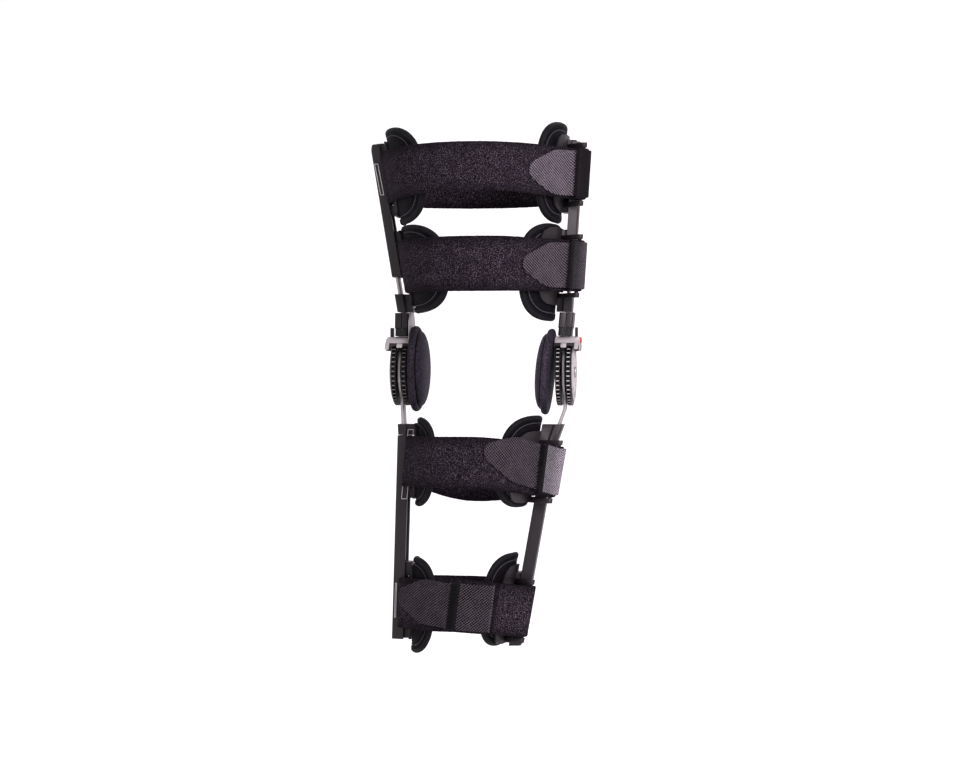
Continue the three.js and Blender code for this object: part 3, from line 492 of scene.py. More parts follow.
def bevelled(piece, width, segments=3, angle=32):
    """Round the sharp edges of a piece."""
    rounding = piece.modifiers.new("Fillet", "BEVEL")
    rounding.width = width
    rounding.segments = segments
    rounding.limit_method = "ANGLE"
    rounding.angle_limit = math.radians(angle)
    rounding.use_clamp_overlap = True
    graph = bpy.context.evaluated_depsgraph_get()
    mesh = bpy.data.meshes.new_from_object(piece.evaluated_get(graph))
    piece.modifiers.clear()
    piece.data = mesh
    mesh.shade_smooth()
    return sharpened(piece)


def sharpened(piece, angle=40):
    """Keep flat faces flat by splitting the shading at the sharp edges."""
    def mark(shape):
        for edge in shape.edges:
            edge.smooth = len(edge.link_faces) == 2 and edge.calc_face_angle(0) < math.radians(angle)

    reshape(piece.data, mark)
    return piece


# Distance in metres within which points are one, and degrees within which faces are flat
WELD = 2e-6
FLAT = 1


def edged_copy(name, node, key, width, segments=3):
    """Copy of a CAD node with its flat faces merged and its edges rounded."""
    def merge(shape):
        bmesh.ops.remove_doubles(shape, verts=shape.verts, dist=WELD)
        bmesh.ops.dissolve_limit(
            shape, angle_limit=math.radians(FLAT), verts=shape.verts, edges=shape.edges)

    piece = linked(name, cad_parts[node].data.copy())
    reshape(piece.data, merge)
    piece.data.materials.clear()
    piece.data.materials.append(material(key))
    return bevelled(piece, width, segments)


def stands_for(piece, node, body):
    """Let a piece take the place of a CAD node."""
    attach(piece, body)
    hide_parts(node)


# Faces over rings of points

def even_turns(steps):
    return [math.tau * k / steps for k in range(steps)]


def ring_quads(count, steps, looped=False):
    """Faces between rings that follow one another, the last joined to the first if they are looped."""
    faces = []
    for i in range(count if looped else count - 1):
        a, b = i * steps, (i + 1) % count * steps
        for k in range(steps):
            following = (k + 1) % steps
            faces.append((a + k, a + following, b + following, b + k))
    return faces


def end_faces(count, steps):
    """Faces over the first and the last ring."""
    return [tuple(reversed(range(steps))), tuple(range((count - 1) * steps, count * steps))]


def domed_faces(count, steps):
    """Faces over rings with a single point before the first and another after the last."""
    end = 1 + count * steps
    faces = []
    for k in range(steps):
        following = (k + 1) % steps
        faces.append((0, 1 + k, 1 + following))
        for a in range(1, end - steps, steps):
            faces.append((a + k, a + k + steps, a + following + steps, a + following))
        faces.append((end - steps + k, end, end - steps + following))
    return faces


def shifted(faces, start):
    return [tuple(start + v for v in face) for face in faces]


def prism(name, sections, keys, bands=None):
    """Closed prism through sections of equal numbers of points, with a finish number for each band."""
    count, steps = len(sections), len(sections[0])
    bands = bands or [0] * (count - 1)
    points = [point for section in sections for point in section]
    slots = [bands[0], bands[-1]] + [band for band in bands for _ in range(steps)]
    return mesh_piece(name, points, end_faces(count, steps) + ring_quads(count, steps), keys, slots)


# Places on the uprights and on the braced leg

def node_name(level, what, side=None):
    """Name of a CAD node at a strap level."""
    name = f"{level['zone']}_{what}_{level['place']}"
    return f"{name}_{side}" if side else name


def line_x(zone, side, z):
    upright = UPRIGHTS[zone, side]
    return lerp(upright["x0"], upright["x1"], (z - upright["z0"]) / (upright["z1"] - upright["z0"]))


def leg_place(zone, z, degrees, offset):
    """Point and outward normal on the leg. 0 degrees is the right side, 90 the back and 270 the front."""
    leg = LEG[zone]
    along = (z - leg["z0"]) / (leg["z1"] - leg["z0"])
    standoff = SLEEVE_HALF_WIDTH[zone] + WINDOW_DEPTH
    low, high = line_x(zone, "left", z) + standoff, line_x(zone, "right", z) - standoff
    half = (high - low) / 2
    cos, sin = math.cos(math.radians(degrees)), math.sin(math.radians(degrees))
    name = "back" if sin > 0 else "front"
    depth = lerp(leg[name + "0"], leg[name + "1"], along)
    normal = Vector((cos / half, sin / depth)).normalized()
    return Vector(((low + high) / 2 + half * cos, depth * sin)) + offset * normal, normal


def leg_station(level, end, degrees):
    """Centre, normal and height of a strap's edge on the leg, end -1 low and 1 high."""
    cos, sin = math.cos(math.radians(degrees)), math.sin(math.radians(degrees))
    side = level["right" if cos > 0 else "left"]
    z = lerp(side, level["back" if sin > 0 else "front"], sin ** 2)
    z += end * lerp(STRAP_WIDTH, level["front_width"], max(0, -sin) ** 2) / 2
    return (*leg_place(level["zone"], z, degrees, STRAP_MIDDLE), z)


TANGENT_ERROR = 1e-4


def tangent(level, z, target, clearance, near, far):
    """Degrees, point and normal on the leg where a straight run passes a target at a clearance."""
    while abs(far - near) > TANGENT_ERROR:
        middle = (near + far) / 2
        point, normal = leg_place(level["zone"], z, middle, STRAP_MIDDLE)
        if (target - point).dot(normal) > clearance:
            far = middle
        else:
            near = middle
    return middle, point, normal


def leaving(level, z):
    """Where the strap leaves the leg at one height, so that it just passes inside the ring post."""
    post = Vector((line_x(level["zone"], "right", z) + level["post_out"], POST_Y))
    degrees, point, normal = tangent(level, z, post, WRAP_RADIUS, 270, 360)
    return {"degrees": degrees, "point": point, "normal": normal, "ahead": Vector((-normal.y, normal.x)),
            "post": post, "touch": post - normal * WRAP_RADIUS}


def front_place(level, z, distance):
    """Point and normal on the first layer, a distance back from the post at one height."""
    start = leaving(level, z)
    travelled = (start["touch"] - start["point"]).length
    if distance <= travelled:
        return start["touch"] - start["ahead"] * distance, start["normal"]
    last, degrees = start["point"], start["degrees"]
    while degrees > 180:
        degrees -= 1
        point, normal = leg_place(level["zone"], z, degrees, STRAP_MIDDLE)
        hop = (point - last).length
        if travelled + hop >= distance:
            return last.lerp(point, (distance - travelled) / hop), normal
        travelled, last = travelled + hop, point
    raise ValueError("the strap has no front at this distance")


def turn_place(level, z, degrees, radius):
    """Point and normal on the turn round the post: 0 where the strap arrives, 180 where it starts back."""
    start = leaving(level, z)
    turn = math.radians(degrees)
    outward = -math.cos(turn) * start["normal"] + math.sin(turn) * start["ahead"]
    return start["post"] + radius * outward, outward


def return_lift(distance):
    return lerp(2 * WRAP_RADIUS, RETURN_LIFT, smoothstep(distance, 0, RETURN_SETTLE))


# Tapes: straps and hook tabs

LOOP_STEPS = 210
LINE_STEPS = 8
TURN_STEP = 12
RETURN_STEP = 2
SHADED_STATIONS = 3


def strap_edge(level, end):
    """One edge of a strap, end -1 low and 1 high: centre, side normal and height of each station."""
    post_z = level["right"] + end * STRAP_WIDTH / 2
    start = leaving(level, post_z)
    stations = []
    for i in range(LOOP_STEPS + 1):
        stations.append(leg_station(level, end, lerp(STRAP_START, start["degrees"], i / LOOP_STEPS)))
    leaving_z = stations[-1][2]
    straight = (start["touch"] - start["point"]).length
    for i in range(1, LINE_STEPS + 1):
        z = lerp(leaving_z, post_z, i / LINE_STEPS)
        stations.append((*front_place(level, z, straight * (1 - i / LINE_STEPS)), z))
    for turn in range(TURN_STEP, 180, TURN_STEP):
        point, outward = turn_place(level, post_z, turn, WRAP_RADIUS)
        stations.append((point, -outward, post_z))
    paces = math.ceil(level["fold"] / RETURN_STEP)
    for i in range(paces + 1):
        distance = level["fold"] * i / paces
        z = post_z + level["slope"] * distance
        point, normal = front_place(level, z, distance)
        stations.append((point + normal * return_lift(distance), -normal, z))
    return stations


def hem_edge(level, end):
    """One edge of the hem: straight on from the front of the leg to a place in front of the left sleeve."""
    z = level["left"] + end * STRAP_WIDTH / 2
    hem = level["hem"]
    tip = Vector((line_x(level["zone"], "left", z) + hem["end"] + end * hem["lean"], HEM_Y))
    degrees, point, normal = tangent(level, z, tip, 0, 270, 180)
    stations = [leg_station(level, end, degrees + before) for before in HEM_LEAD]
    leaving_z = stations[-1][2]
    for share in (i / HEM_STEPS for i in range(HEM_STEPS + 1)):
        stations.append((point.lerp(tip, share), normal, lerp(leaving_z, z, share)))
    return stations


# Stations of a tape's rounded edge, in shares of its radius
EDGE_STATIONS = (0, 0.12, 0.45, 1)
# The pile of an edge is read from another place, so that it differs from the pile of the faces.
EDGE_PILE = 1.7
# Unevenness of the pile: changes per millimetre, and weight
PILE_NOISE = ((0.9, 1), (2.3, 0.6))


def edge_marks(width, thick, columns):
    """Shares across a tape with the rounding of its edge: (share, share of half the thickness)."""
    radius = thick / 2
    marks = [radius * m / width for m in EDGE_STATIONS]
    marks += [lerp(marks[-1], 1 - marks[-1], i / columns) for i in range(1, columns)]
    marks += [1 - radius * m / width for m in reversed(EDGE_STATIONS)]
    rounding = [min(1, min(m, 1 - m) * width / radius) for m in marks]
    return [(m, math.sqrt(max(0, 1 - (1 - r) ** 2))) for m, r in zip(marks, rounding)]


def tape(name, low, high, thick, columns, keys, finishes, relief):
    """Closed tape between two edges, with a finish number for each station. relief(point) is its pile."""
    points, uvs = [], []
    run, previous = 0, None
    for (low_point, low_side, low_z), (high_point, high_side, high_z) in zip(low, high):
        a, b = Vector((*low_point, low_z)), Vector((*high_point, high_z))
        side_a, side_b = Vector((*low_side, 0)), Vector((*high_side, 0))
        middle = (a + b) / 2
        run += (middle - previous).length if previous else 0
        previous = middle
        width = max((b - a).length, thick)
        marks = edge_marks(width, thick, columns)
        ring = [(m, s, 1) for m, s in marks] + [(m, s, -1) for m, s in reversed(marks[1:-1])]
        for m, s, face in ring:
            side = side_a.lerp(side_b, m).normalized()
            point = a.lerp(b, m) + side * (face * s * thick / 2)
            point = point + side * (face * s * relief(point))
            if s == 0:
                pile = relief(point * EDGE_PILE)
                point = point + (b - a).normalized() * pile * (1 if m > 0.5 else -1)
            points.append(point)
            uvs.append((run * MM, (m - 0.5) * width * MM))
    count, steps = len(low), len(ring)
    slots = [finish for finish in finishes[:-1] for _ in range(steps)] + [finishes[0], finishes[-1]]
    faces = ring_quads(count, steps) + end_faces(count, steps)
    return mesh_piece(name, points, faces, keys, slots, uvs), run


def pile_relief(point):
    """Uneven height of the pile at a place, in millimetres."""
    uneven = sum(weight * noise.noise(point * rate) for rate, weight in PILE_NOISE)
    return sizes().pile / MM * uneven


class KNEEBRACE_OT_straps(bpy.types.Operator):
    """Build the loop-pile straps that go round the leg and back round their ring posts"""
    bl_idname = "kneebrace.straps"
    bl_label = "Straps"

    def execute(self, context):
        for level in LEVELS:
            node = node_name(level, "strap")
            name = "webbing_" + node
            low, high = strap_edge(level, -1), strap_edge(level, 1)
            # The turn round the post and the return are painted paler, as light
            keys = ["pile", "brushed_pile"]
            finishes = [int(i > LOOP_STEPS + LINE_STEPS) for i in range(len(low))]
            # Painted shade on the strap just beside the end of a tab that lies on it
            if level["start"]:
                keys.append("shaded_pile")
                tab_end = len(low) - 1 - round((level["fold"] - level["start"]) / RETURN_STEP)
                finishes[tab_end - SHADED_STATIONS:tab_end] = [2] * SHADED_STATIONS
            piece, run = tape(name, low, high, STRAP_THICK, STRAP_COLUMNS, keys, finishes, pile_relief)
            if level["hem"]:
                low, high = hem_edge(level, -1), hem_edge(level, 1)
                seam = len(low) - level["hem"]["seam"]
                keys = ["pile", "thread"]
                finishes = [int(i == seam) for i in range(len(low))]
                hem, hem_run = tape("hem", low, high, HEM_THICK, STRAP_COLUMNS, keys, finishes, pile_relief)
                piece = joined(name, [piece, hem])
                run += hem_run
            stands_for(piece, node, level["zone"])
            rests = [node_name(level, "clip", side) for side in SIGN]
        return {"FINISHED"}


def tab_half(level, distance):
    """Half height of a hook tab: a square jaw, a body, straight flanks and a round nose."""
    if distance <= level["fold"] + GAP:
        return TAB_JAW_HALF
    radius, reach = TAB_NOSE["radius"], TAB_NOSE["reach"]
    to_tip = max(0, level["tip"] - distance)
    on_nose = radius - min(to_tip, reach)
    flank = math.sqrt(max(0.1, radius ** 2 - on_nose ** 2)) + TAB_NOSE["slope"] * max(0, to_tip - reach)
    near = max(0, 1 - abs(flank - TAB_HALF) / TAB_NOSE["shoulder"])
    return min(flank, TAB_HALF) - near ** 2 * TAB_NOSE["shoulder"] / 4


def tab_lift(level, distance):
    on_strap = STRAP_THICK / 2 + TAB_GAP + TAB_THICK / 2
    step = smoothstep(distance, level["fold"] + GAP, level["fold"] + TAB_STEP)
    return on_strap + lerp(return_lift(distance), 0, step)


def tab_place(level, z, distance):
    """Point and normal on the tab's middle, straight on once it has left the strap."""
    point, normal = front_place(level, z, min(distance, level["free"]))
    if distance > level["free"]:
        point = point + Vector((normal.y, -normal.x)) * (distance - level["free"])
    return point + normal * tab_lift(level, distance), normal


def tab_distances(level):
    """Stations along a tab, closer together at the seam and at the tip."""
    body_end = level["tip"] - TAB_TIP_LENGTH
    steps = math.ceil((body_end - level["start"]) / RETURN_STEP)
    marks = [lerp(level["start"], body_end, i / steps) for i in range(steps)]
    marks += [level["fold"] + reach for reach in (GAP, 2 * GAP, *level["band"])]
    marks += [level["tip"] - TAB_TIP_LENGTH * (1 - i / TAB_TIP_STEPS) for i in range(TAB_TIP_STEPS - 1)]
    marks += [level["tip"] - reach for reach in TAB_NOSE_STATIONS]
    return sorted(marks)


TAB_TURNS = range(60, 180, TURN_STEP)


def tab_edge(level, end):
    stations = []
    if level["start"] == 0:
        radius = WRAP_RADIUS + tab_lift(level, 0) - return_lift(0)
        z = level["right"] + end * TAB_JAW_HALF
        stations += [(*turn_place(level, z, turn, radius), z) for turn in TAB_TURNS]
    for distance in tab_distances(level):
        rise = end * tab_half(level, distance)
        z = level["right"] + level["slope"] * distance + rise
        stations.append((*tab_place(level, z, distance + level["turn"] * rise), z))
    return stations


def tab_finishes(level):
    """Finish number of each station of a tab: 0 the tab, 1 its jaw, 2 the sewn band, 3 a painted highlight on
    its cut end.
    """
    numbers = [1] * len(TAB_TURNS) if level["start"] == 0 else []
    first, last = level["band"]
    for distance in tab_distances(level):
        past = distance - level["fold"] + GAP / 2
        numbers.append(1 if past < first else 2 if past < last else 0)
    # A tab that starts on the strap gets a painted highlight along its cut end
    if level["start"]:
        numbers[0] = 3
    return numbers


STITCH_SIDES = 6
# Rings of a stitch: share of its length, share of its radius
STITCH_RINGS = ((0, 0.4), (0.2, 0.95), (0.5, 1.1), (0.8, 0.95), (1, 0.4))


def stitch(start, end):
    """Points of one stitch: a short thread that dips into the cloth at both ends."""
    along = end - start
    across = along.orthogonal().normalized()
    up = along.normalized().cross(across)
    points = []
    for share, swollen in STITCH_RINGS:
        for turn in even_turns(STITCH_SIDES):
            spoke = across * math.cos(turn) + up * math.sin(turn)
            points.append(start + along * share + spoke * SEAM["radius"] * swollen)
    return points


class KNEEBRACE_OT_tabs(bpy.types.Operator):
    """Build the woven hook tabs with their jaws and stitched seams"""
    bl_idname = "kneebrace.tabs"
    bl_label = "Hook tabs"

    def execute(self, context):
        for level in LEVELS:
            self.build(level)
        return {"FINISHED"}

    def build(self, level):
        node = node_name(level, "tab")
        name = "woven_" + node
        low, high = tab_edge(level, -1), tab_edge(level, 1)
        keys = [level["tone"], level["jaw"], "seam_tape"]
        if level["start"]:
            # Its last finish, a lighter twill, is the painted highlight on the cut end
            keys = [level["tone"], level["jaw"], "black_tape", "grey_twill"]
        finishes = tab_finishes(level)
        piece, run = tape(name, low, high, TAB_THICK, TAB_COLUMNS, keys, finishes, lambda point: 0.0)
        piece = joined(name, [piece, self.seam(level)])
        stands_for(piece, node, level["zone"])
        middles = [(a[0] + b[0]) / 2 for a, b in zip(low, high)]
        steps = [(q - p).length for p, q in zip(middles, middles[1:])]
        area = sum((b[2] - a[2]) * step for a, b, step in zip(low, high, steps))
        node_name(level, "strap")

    def seam(self, level):
        """Zigzag of threads over the end of the band, uneven as hand-guided sewing is."""
        count = len(STITCH_RINGS)
        stitch_faces = ring_quads(count, STITCH_SIDES) + end_faces(count, STITCH_SIDES)
        points, faces = [], []
        pitch = sizes().stitch / MM
        stitches = int(2 * TAB_HALF / pitch)
        first, last = level["band"]
        for i in range(stitches):
            z = (i + 0.5 - stitches / 2) * pitch
            spot = Vector((i * SEAM["apart"], level["right"], SEAM["layer"]))
            ragged = SEAM["ragged"] * noise.noise(spot)
            ends = []
            for reach in (first + SEAM["in"], last + SEAM["past"] + ragged):
                distance = level["fold"] + reach
                height = level["right"] + level["slope"] * distance + z + SEAM["rise"] * ragged
                point, normal = tab_place(level, height, distance + level["turn"] * z)
                ends.append(Vector((*(point + normal * TAB_THICK / 2), height)))
            faces += shifted(stitch_faces, len(points))
            points += stitch(*ends)
        threads = mesh_piece("stitches", points, faces, ["thread"])
        threads.data.uv_layers.new(name="UVMap")
        return threads


# Pads

RING_STEPS = 84
# Outer face of a side pad from its middle to its rim, then the face to the leg:
# distance from the rim, height over the face, finish (0 cover, 1 binding, 2 piping)
PAD_RIM = (
    (40, 0.0, 0), (30, 0.0, 0), (20, 0.0, 0), (13, 0.0, 0), (10, -0.1, 0), (9, -0.6, 0), (8.5, -1.3, 0),
    (8.2, -0.5, 2), (7.7, 0.0, 2), (7.2, -0.5, 0), (6.9, -1.3, 0), (6.2, -0.5, 0), (5, 0.3, 0), (4, 0.2, 0),
    (3.6, -0.2, 1), (3.3, 0.35, 1), (2, 0.1, 1), (0.9, -0.8, 1), (0.2, -2.0, 1), (0, -3.2, 1), (0.3, -4.4, 1),
    (1.2, -5.6, 1), (2.6, -6.3, 1), (3.2, -6.2, 1), (4.0, -6.9, 0),
)
PAD_CROWN = 8.6
PAD_CROWN_RINGS = (6, 9, 13, 18, 24, 31, 38)
PAD_CROWN_RISE = (2, 34)
PAD_PRESSURE = 3.0
# Wrinkles on the face to the leg: their height, the height over the face where they start,
# and how fast they change round and up the leg and from level to level
PAD_WRINKLE = {"height": 0.25, "below": -3.5, "round": 0.12, "up": 0.11, "level": 7.0}

CLOTH = {
    "use_pressure": True, "vertex_group_mass": "sewn", "quality": 4, "mass": 0.25,
    "tension_stiffness": 12, "compression_stiffness": 12, "bending_stiffness": 0.6,
}
CLOTH_FRAMES = 16


def cushion(name, rings, place_of, keys):
    """Closed cushion from rings of (inset, height, finish), with a middle point at each end."""
    points = [place_of(rings[0][0], 0, rings[0][1], True)]
    for inset, height, _ in rings:
        points += [place_of(inset, turn, height, False) for turn in even_turns(RING_STEPS)]
    points.append(place_of(rings[-1][0], 0, rings[-1][1], True))
    slots = [rings[0][2], *(finish for _, _, finish in rings)] * RING_STEPS
    return mesh_piece(name, points, domed_faces(len(rings), RING_STEPS), keys, slots)


def swell(piece, sewn, pressure, limit=math.inf):
    """Inflate a cushion by cloth simulation: its first points are sewn down, the rest move up to a limit."""
    vertices = piece.data.vertices
    rest = [v.co.copy() for v in vertices]
    group = piece.vertex_groups.new(name="sewn")
    for v in vertices:
        group.add([v.index], float(v.index < sewn), "REPLACE")
    cloth = piece.modifiers.new("Swell", "CLOTH")
    for key, value in CLOTH.items():
        setattr(cloth.settings, key, value)
    cloth.settings.uniform_pressure_force = pressure
    cloth.settings.effector_weights.gravity = 0
    cloth.point_cache.frame_start = 1
    cloth.point_cache.frame_end = CLOTH_FRAMES
    scene = bpy.context.scene
    for number in range(1, CLOTH_FRAMES + 1):
        scene.frame_set(number)
    graph = bpy.context.evaluated_depsgraph_get()
    moved = [v.co.copy() for v in piece.evaluated_get(graph).data.vertices]
    piece.modifiers.remove(cloth)
    piece.vertex_groups.clear()
    scene.frame_set(1)
    for i in range(sewn, len(rest)):
        step = moved[i] - rest[i]
        if step.length > limit:
            step *= limit / step.length
        vertices[i].co = rest[i] + step
    piece.data.update()


class KNEEBRACE_OT_side_pads(bpy.types.Operator):
    """Build the side pads with their bound rims and piped seams, swollen towards the leg"""
    bl_idname = "kneebrace.side_pads"
    bl_label = "Side pads"

    def execute(self, context):
        for row in PADS:
            self.build(row, LEVELS[row["level"]])
        return {"FINISHED"}

    def build(self, row, level):
        node = node_name(level, "pad", row["side"])
        face = -PADDLE_THICK - PAD_GAP
        front, back = -row["forward"], row["behind"]
        if row["side"] == "left":
            front, back = 180 - front, 180 - back

        def place_of(inset, turn, height, middle):
            cos, sin = math.cos(turn), math.sin(turn)
            reach = 0 if middle else (1 - inset / PAD_HALF)
            reach /= (abs(cos) ** PAD_ROUNDNESS + abs(sin) ** PAD_ROUNDNESS) ** (1 / PAD_ROUNDNESS)
            z = lerp(row["low"], row["high"], (reach * sin + 1) / 2)
            degrees = lerp(front, back, (reach * cos + 1) / 2)
            wrinkle, look = 0.0, PAD_WRINKLE
            if height < look["below"]:
                spot = (degrees * look["round"], z * look["up"], row["level"] * look["level"])
                wrinkle = look["height"] * noise.noise(Vector(spot))
            point, _ = leg_place(level["zone"], z, degrees, face + height + wrinkle)
            return Vector((*point, z))

        rings = list(PAD_RIM)
        for inset in PAD_CROWN_RINGS:
            rings.append((inset, lerp(PAD_RIM[-1][1], -PAD_CROWN, smoothstep(inset, *PAD_CROWN_RISE)), 0))
        piece = cushion("knit_" + node, rings, place_of, ["knit", "binding", "piping"])
        swell(piece, 1 + len(PAD_RIM) * RING_STEPS, PAD_PRESSURE, sizes().crown)
        stands_for(piece, node, level["zone"])


# Condyle pad from the middle of its back, over the backing layer and the seam, to the top of the dome:
# radius and height
CONDYLE_RINGS = (
    (12, 0.2), (26, 0.2), (37, 0.2), (40.2, 0.4), (41.8, 1.0), (42.7, 2.1), (43.0, 3.6), (42.8, 5.0),
    (42.1, 6.2), (41.0, 7.1), (39.8, 7.5), (38.9, 7.2), (38.2, 6.6), (38.0, 6.9), (38.1, 7.8), (37.8, 8.8),
    (37.0, 10.0), (35.8, 11.1), (34.0, 12.1), (31.0, 13.2), (27.0, 14.2), (21.0, 15.2), (14.0, 15.8),
    (7.0, 16.1),
)
CONDYLE_SEAM_RING = 13
CONDYLE_PRESSURE = 2.0
# Puckers beside the seam: their height, the radii between which and the height over which they are,
# and how fast they change round the pad and from side to side
CONDYLE_PUCKER = {"height": 0.22, "from": 36, "to": 43, "over": 5, "round": 9, "side": 4.0}


class KNEEBRACE_OT_condyle_pads(bpy.types.Operator):
    """Build the round condyle pads: a backing layer, a sewn seam and a soft dome"""
    bl_idname = "kneebrace.condyle_pads"
    bl_label = "Condyle pads"

    def execute(self, context):
        for side, sign in SIGN.items():
            self.build(side, sign)
        return {"FINISHED"}

    def build(self, side, sign):
        node = f"condyle_pad_{side}"
        lean = math.radians(CONDYLE[side]["lean"])

        def place_of(radius, turn, height, middle):
            reach = 0 if middle else radius
            pucker, look = 0.0, CONDYLE_PUCKER
            if look["from"] < radius < look["to"] and height > look["over"]:
                spot = (math.cos(turn) * look["round"], math.sin(turn) * look["round"], sign * look["side"])
                pucker = look["height"] * noise.noise(Vector(spot))
            x, y, z = -height + pucker, reach * math.cos(turn), reach * math.sin(turn)
            x, z = x * math.cos(lean) + z * math.sin(lean), z * math.cos(lean) - x * math.sin(lean)
            return Vector((sign * (CONDYLE[side]["back"] + x), y, z + CONDYLE[side]["rise"]))

        rings = []
        for i, (radius, height) in enumerate(CONDYLE_RINGS):
            part = 0 if i < CONDYLE_SEAM_RING - 2 else 1 if i < CONDYLE_SEAM_RING + 2 else 2
            rings.append((radius, height, part))
        piece = cushion("knit_" + node, rings, place_of, ["backing", "thread", "dome"])
        swell(piece, 1 + (CONDYLE_SEAM_RING + 1) * RING_STEPS, CONDYLE_PRESSURE)
        stands_for(piece, node, "thigh")


# Moulded pieces

KEEPER_STANDOFF = 0.5
# Wire keepers on the left clips, by level: depth, then height and both sides, in from the sleeve, of each end
KEEPERS = {
    0: {"depth": SLEEVE_HALF_DEPTH + KEEPER_STANDOFF, "ends": ((208, (-3.0, 0.4)), (177, (-1.9, 1.3)))},
    2: {"depth": -HEM_Y, "ends": ((-57.5, (5.6, 11.0)), (-126.5, (0.9, 6.3)))},
    3: {"depth": SLEEVE_HALF_DEPTH + KEEPER_STANDOFF, "ends": ((-211, (-3.0, -1.8)), (-245, (-3.0, -1.8)))},
}
KEEPER_WIRE = 0.42
KEEPER_SIDES = 8
# Least square of the cosine at a mitred corner, which limits how far the wire is stretched there
KEEPER_MITRE = 0.3


def keeper(number):
    """Bent wire loop in front of the sleeve that the strap's hem is held by, mitred at its corners."""
    path, points = [], []
    for (z, sides), order in zip(KEEPERS[number]["ends"], (1, -1)):
        middle = line_x(LEVELS[number]["zone"], "left", z)
        path += [Vector((middle + side, -KEEPERS[number]["depth"], z)) for side in sides[::order]]
    for i, corner in enumerate(path):
        before = (corner - path[i - 1]).normalized()
        after = (path[(i + 1) % len(path)] - corner).normalized()
        across = (before - after).normalized()
        flat = before.cross(after).normalized()
        stretch = 1 / max(KEEPER_MITRE, across.dot(before.cross(flat).normalized()) ** 2) ** 0.5
        for turn in even_turns(KEEPER_SIDES):
            points.append(corner + (across * math.cos(turn) * stretch + flat * math.sin(turn)) * KEEPER_WIRE)
    return mesh_piece("keeper", points, ring_quads(len(path), KEEPER_SIDES, looped=True), ["steel"])


class KNEEBRACE_OT_clips(bpy.types.Operator):
    """Mould the clips that hold the pads and carry the ring posts"""
    bl_idname = "kneebrace.clips"
    bl_label = "Clips"

    def execute(self, context):
        for row in PADS:
            level = LEVELS[row["level"]]
            node = node_name(level, "clip", row["side"])
            piece = edged_copy("moulded_" + node, node, "nylon", sizes().fillet, 2)
            if row["side"] == "left" and row["level"] in KEEPERS:
                piece = joined("moulded_" + node, [piece, keeper(row["level"])])
            stands_for(piece, node, level["zone"])
        return {"FINISHED"}


def quarter(steps):
    """Turns of a quarter circle, both ends included."""
    return [math.pi / 2 * i / steps for i in range(steps + 1)]


class KNEEBRACE_OT_sleeves(bpy.types.Operator):
    """Extrude the channel sleeves, with a rounded end at the top of the thigh"""
    bl_idname = "kneebrace.sleeves"
    bl_label = "Sleeves"

    def execute(self, context):
        for zone, side in UPRIGHTS:
            self.build(zone, side)
        return {"FINISHED"}

    def outline(self, half, crop):
        """Channel outline, whose outer face is moved in by the crop."""
        pocket, depth = BAR_HALF_THICK + GAP, BAR_HALF_DEPTH + GAP
        outer, shoulder = half - crop, SLEEVE_HALF_DEPTH - SLEEVE_FALL * (1 - crop / half)
        curve = [(outer - SLEEVE_ROUND * (1 - math.sin(t)), shoulder - SLEEVE_ROUND * (1 - math.cos(t)))
                 for t in quarter(4)]
        return ([(-half, -SLEEVE_HALF_DEPTH)] + [(u, -y) for u, y in curve] + curve[::-1]
                + [(-half, SLEEVE_HALF_DEPTH), (-half, SLEEVE_MOUTH), (-pocket, SLEEVE_MOUTH),
                   (-pocket, depth), (pocket, depth), (pocket, -depth), (-pocket, -depth),
                   (-pocket, -SLEEVE_MOUTH), (-half, -SLEEVE_MOUTH)])

    def build(self, zone, side):
        upright = UPRIGHTS[zone, side]
        node = f"{zone}_sleeve_{side}"
        half = SLEEVE_HALF_WIDTH[zone]
        heights = [(upright["low"], 0), (upright["high"], 0)]
        if zone == "thigh":
            across = half - BAR_HALF_THICK - 2 * GAP
            heights[1:] = [
                (upright["high"] - SLEEVE_TOP_ROUND * (1 - math.sin(t)), across * (1 - math.cos(t)))
                for t in quarter(6)]
        sections = [
            [(SIGN[side] * u + line_x(zone, side, z), y, z) for u, y in self.outline(half, crop)]
            for z, crop in heights]
        piece = bevelled(prism("moulded_" + node, sections, ["nylon"]), sizes().fillet)
        stands_for(piece, node, zone)


# Hinges

def hinge_point(side, u, y, z):
    """Place measured outward from the hinge's mid-plane."""
    return Vector((SIGN[side] * (HINGE_X + u), y, z))


def turned_points(side, profile, turns):
    """Rings of points round the hinge axis through (radius, outward) pairs."""
    return [hinge_point(side, u, radius * math.cos(turn), radius * math.sin(turn))
            for radius, u in profile for turn in turns]


def lathe(name, side, profile, key, steps=48):
    """Turned shape round the hinge axis, from (radius, outward) pairs that start and end on the axis."""
    rings = turned_points(side, profile[1:-1], even_turns(steps))
    first, last = (hinge_point(side, profile[i][1], 0, 0) for i in (0, -1))
    return mesh_piece(name, [first, *rings, last], domed_faces(len(profile) - 2, steps), [key])


# Finish of each hinge's ribs; the left hinge's are painted darker, as shade
RIB = {"left": "dark_rib", "right": "rib"}
POCKET_DEPTH = 2.6
POCKET_SHARE = 0.77
DISC_EDGE = 0.5
DISC_FLANGE = 1.05
# Faces of a disc: width of the rim, radius of the hub, depth between them, and the lead into the bore
DISC_RELIEF = {"rim": 2.2, "hub": 10.5, "sunk": 0.5, "lead": 0.4}
# Place of the pockets among the bands of a disc's section
POCKET_BAND = 2


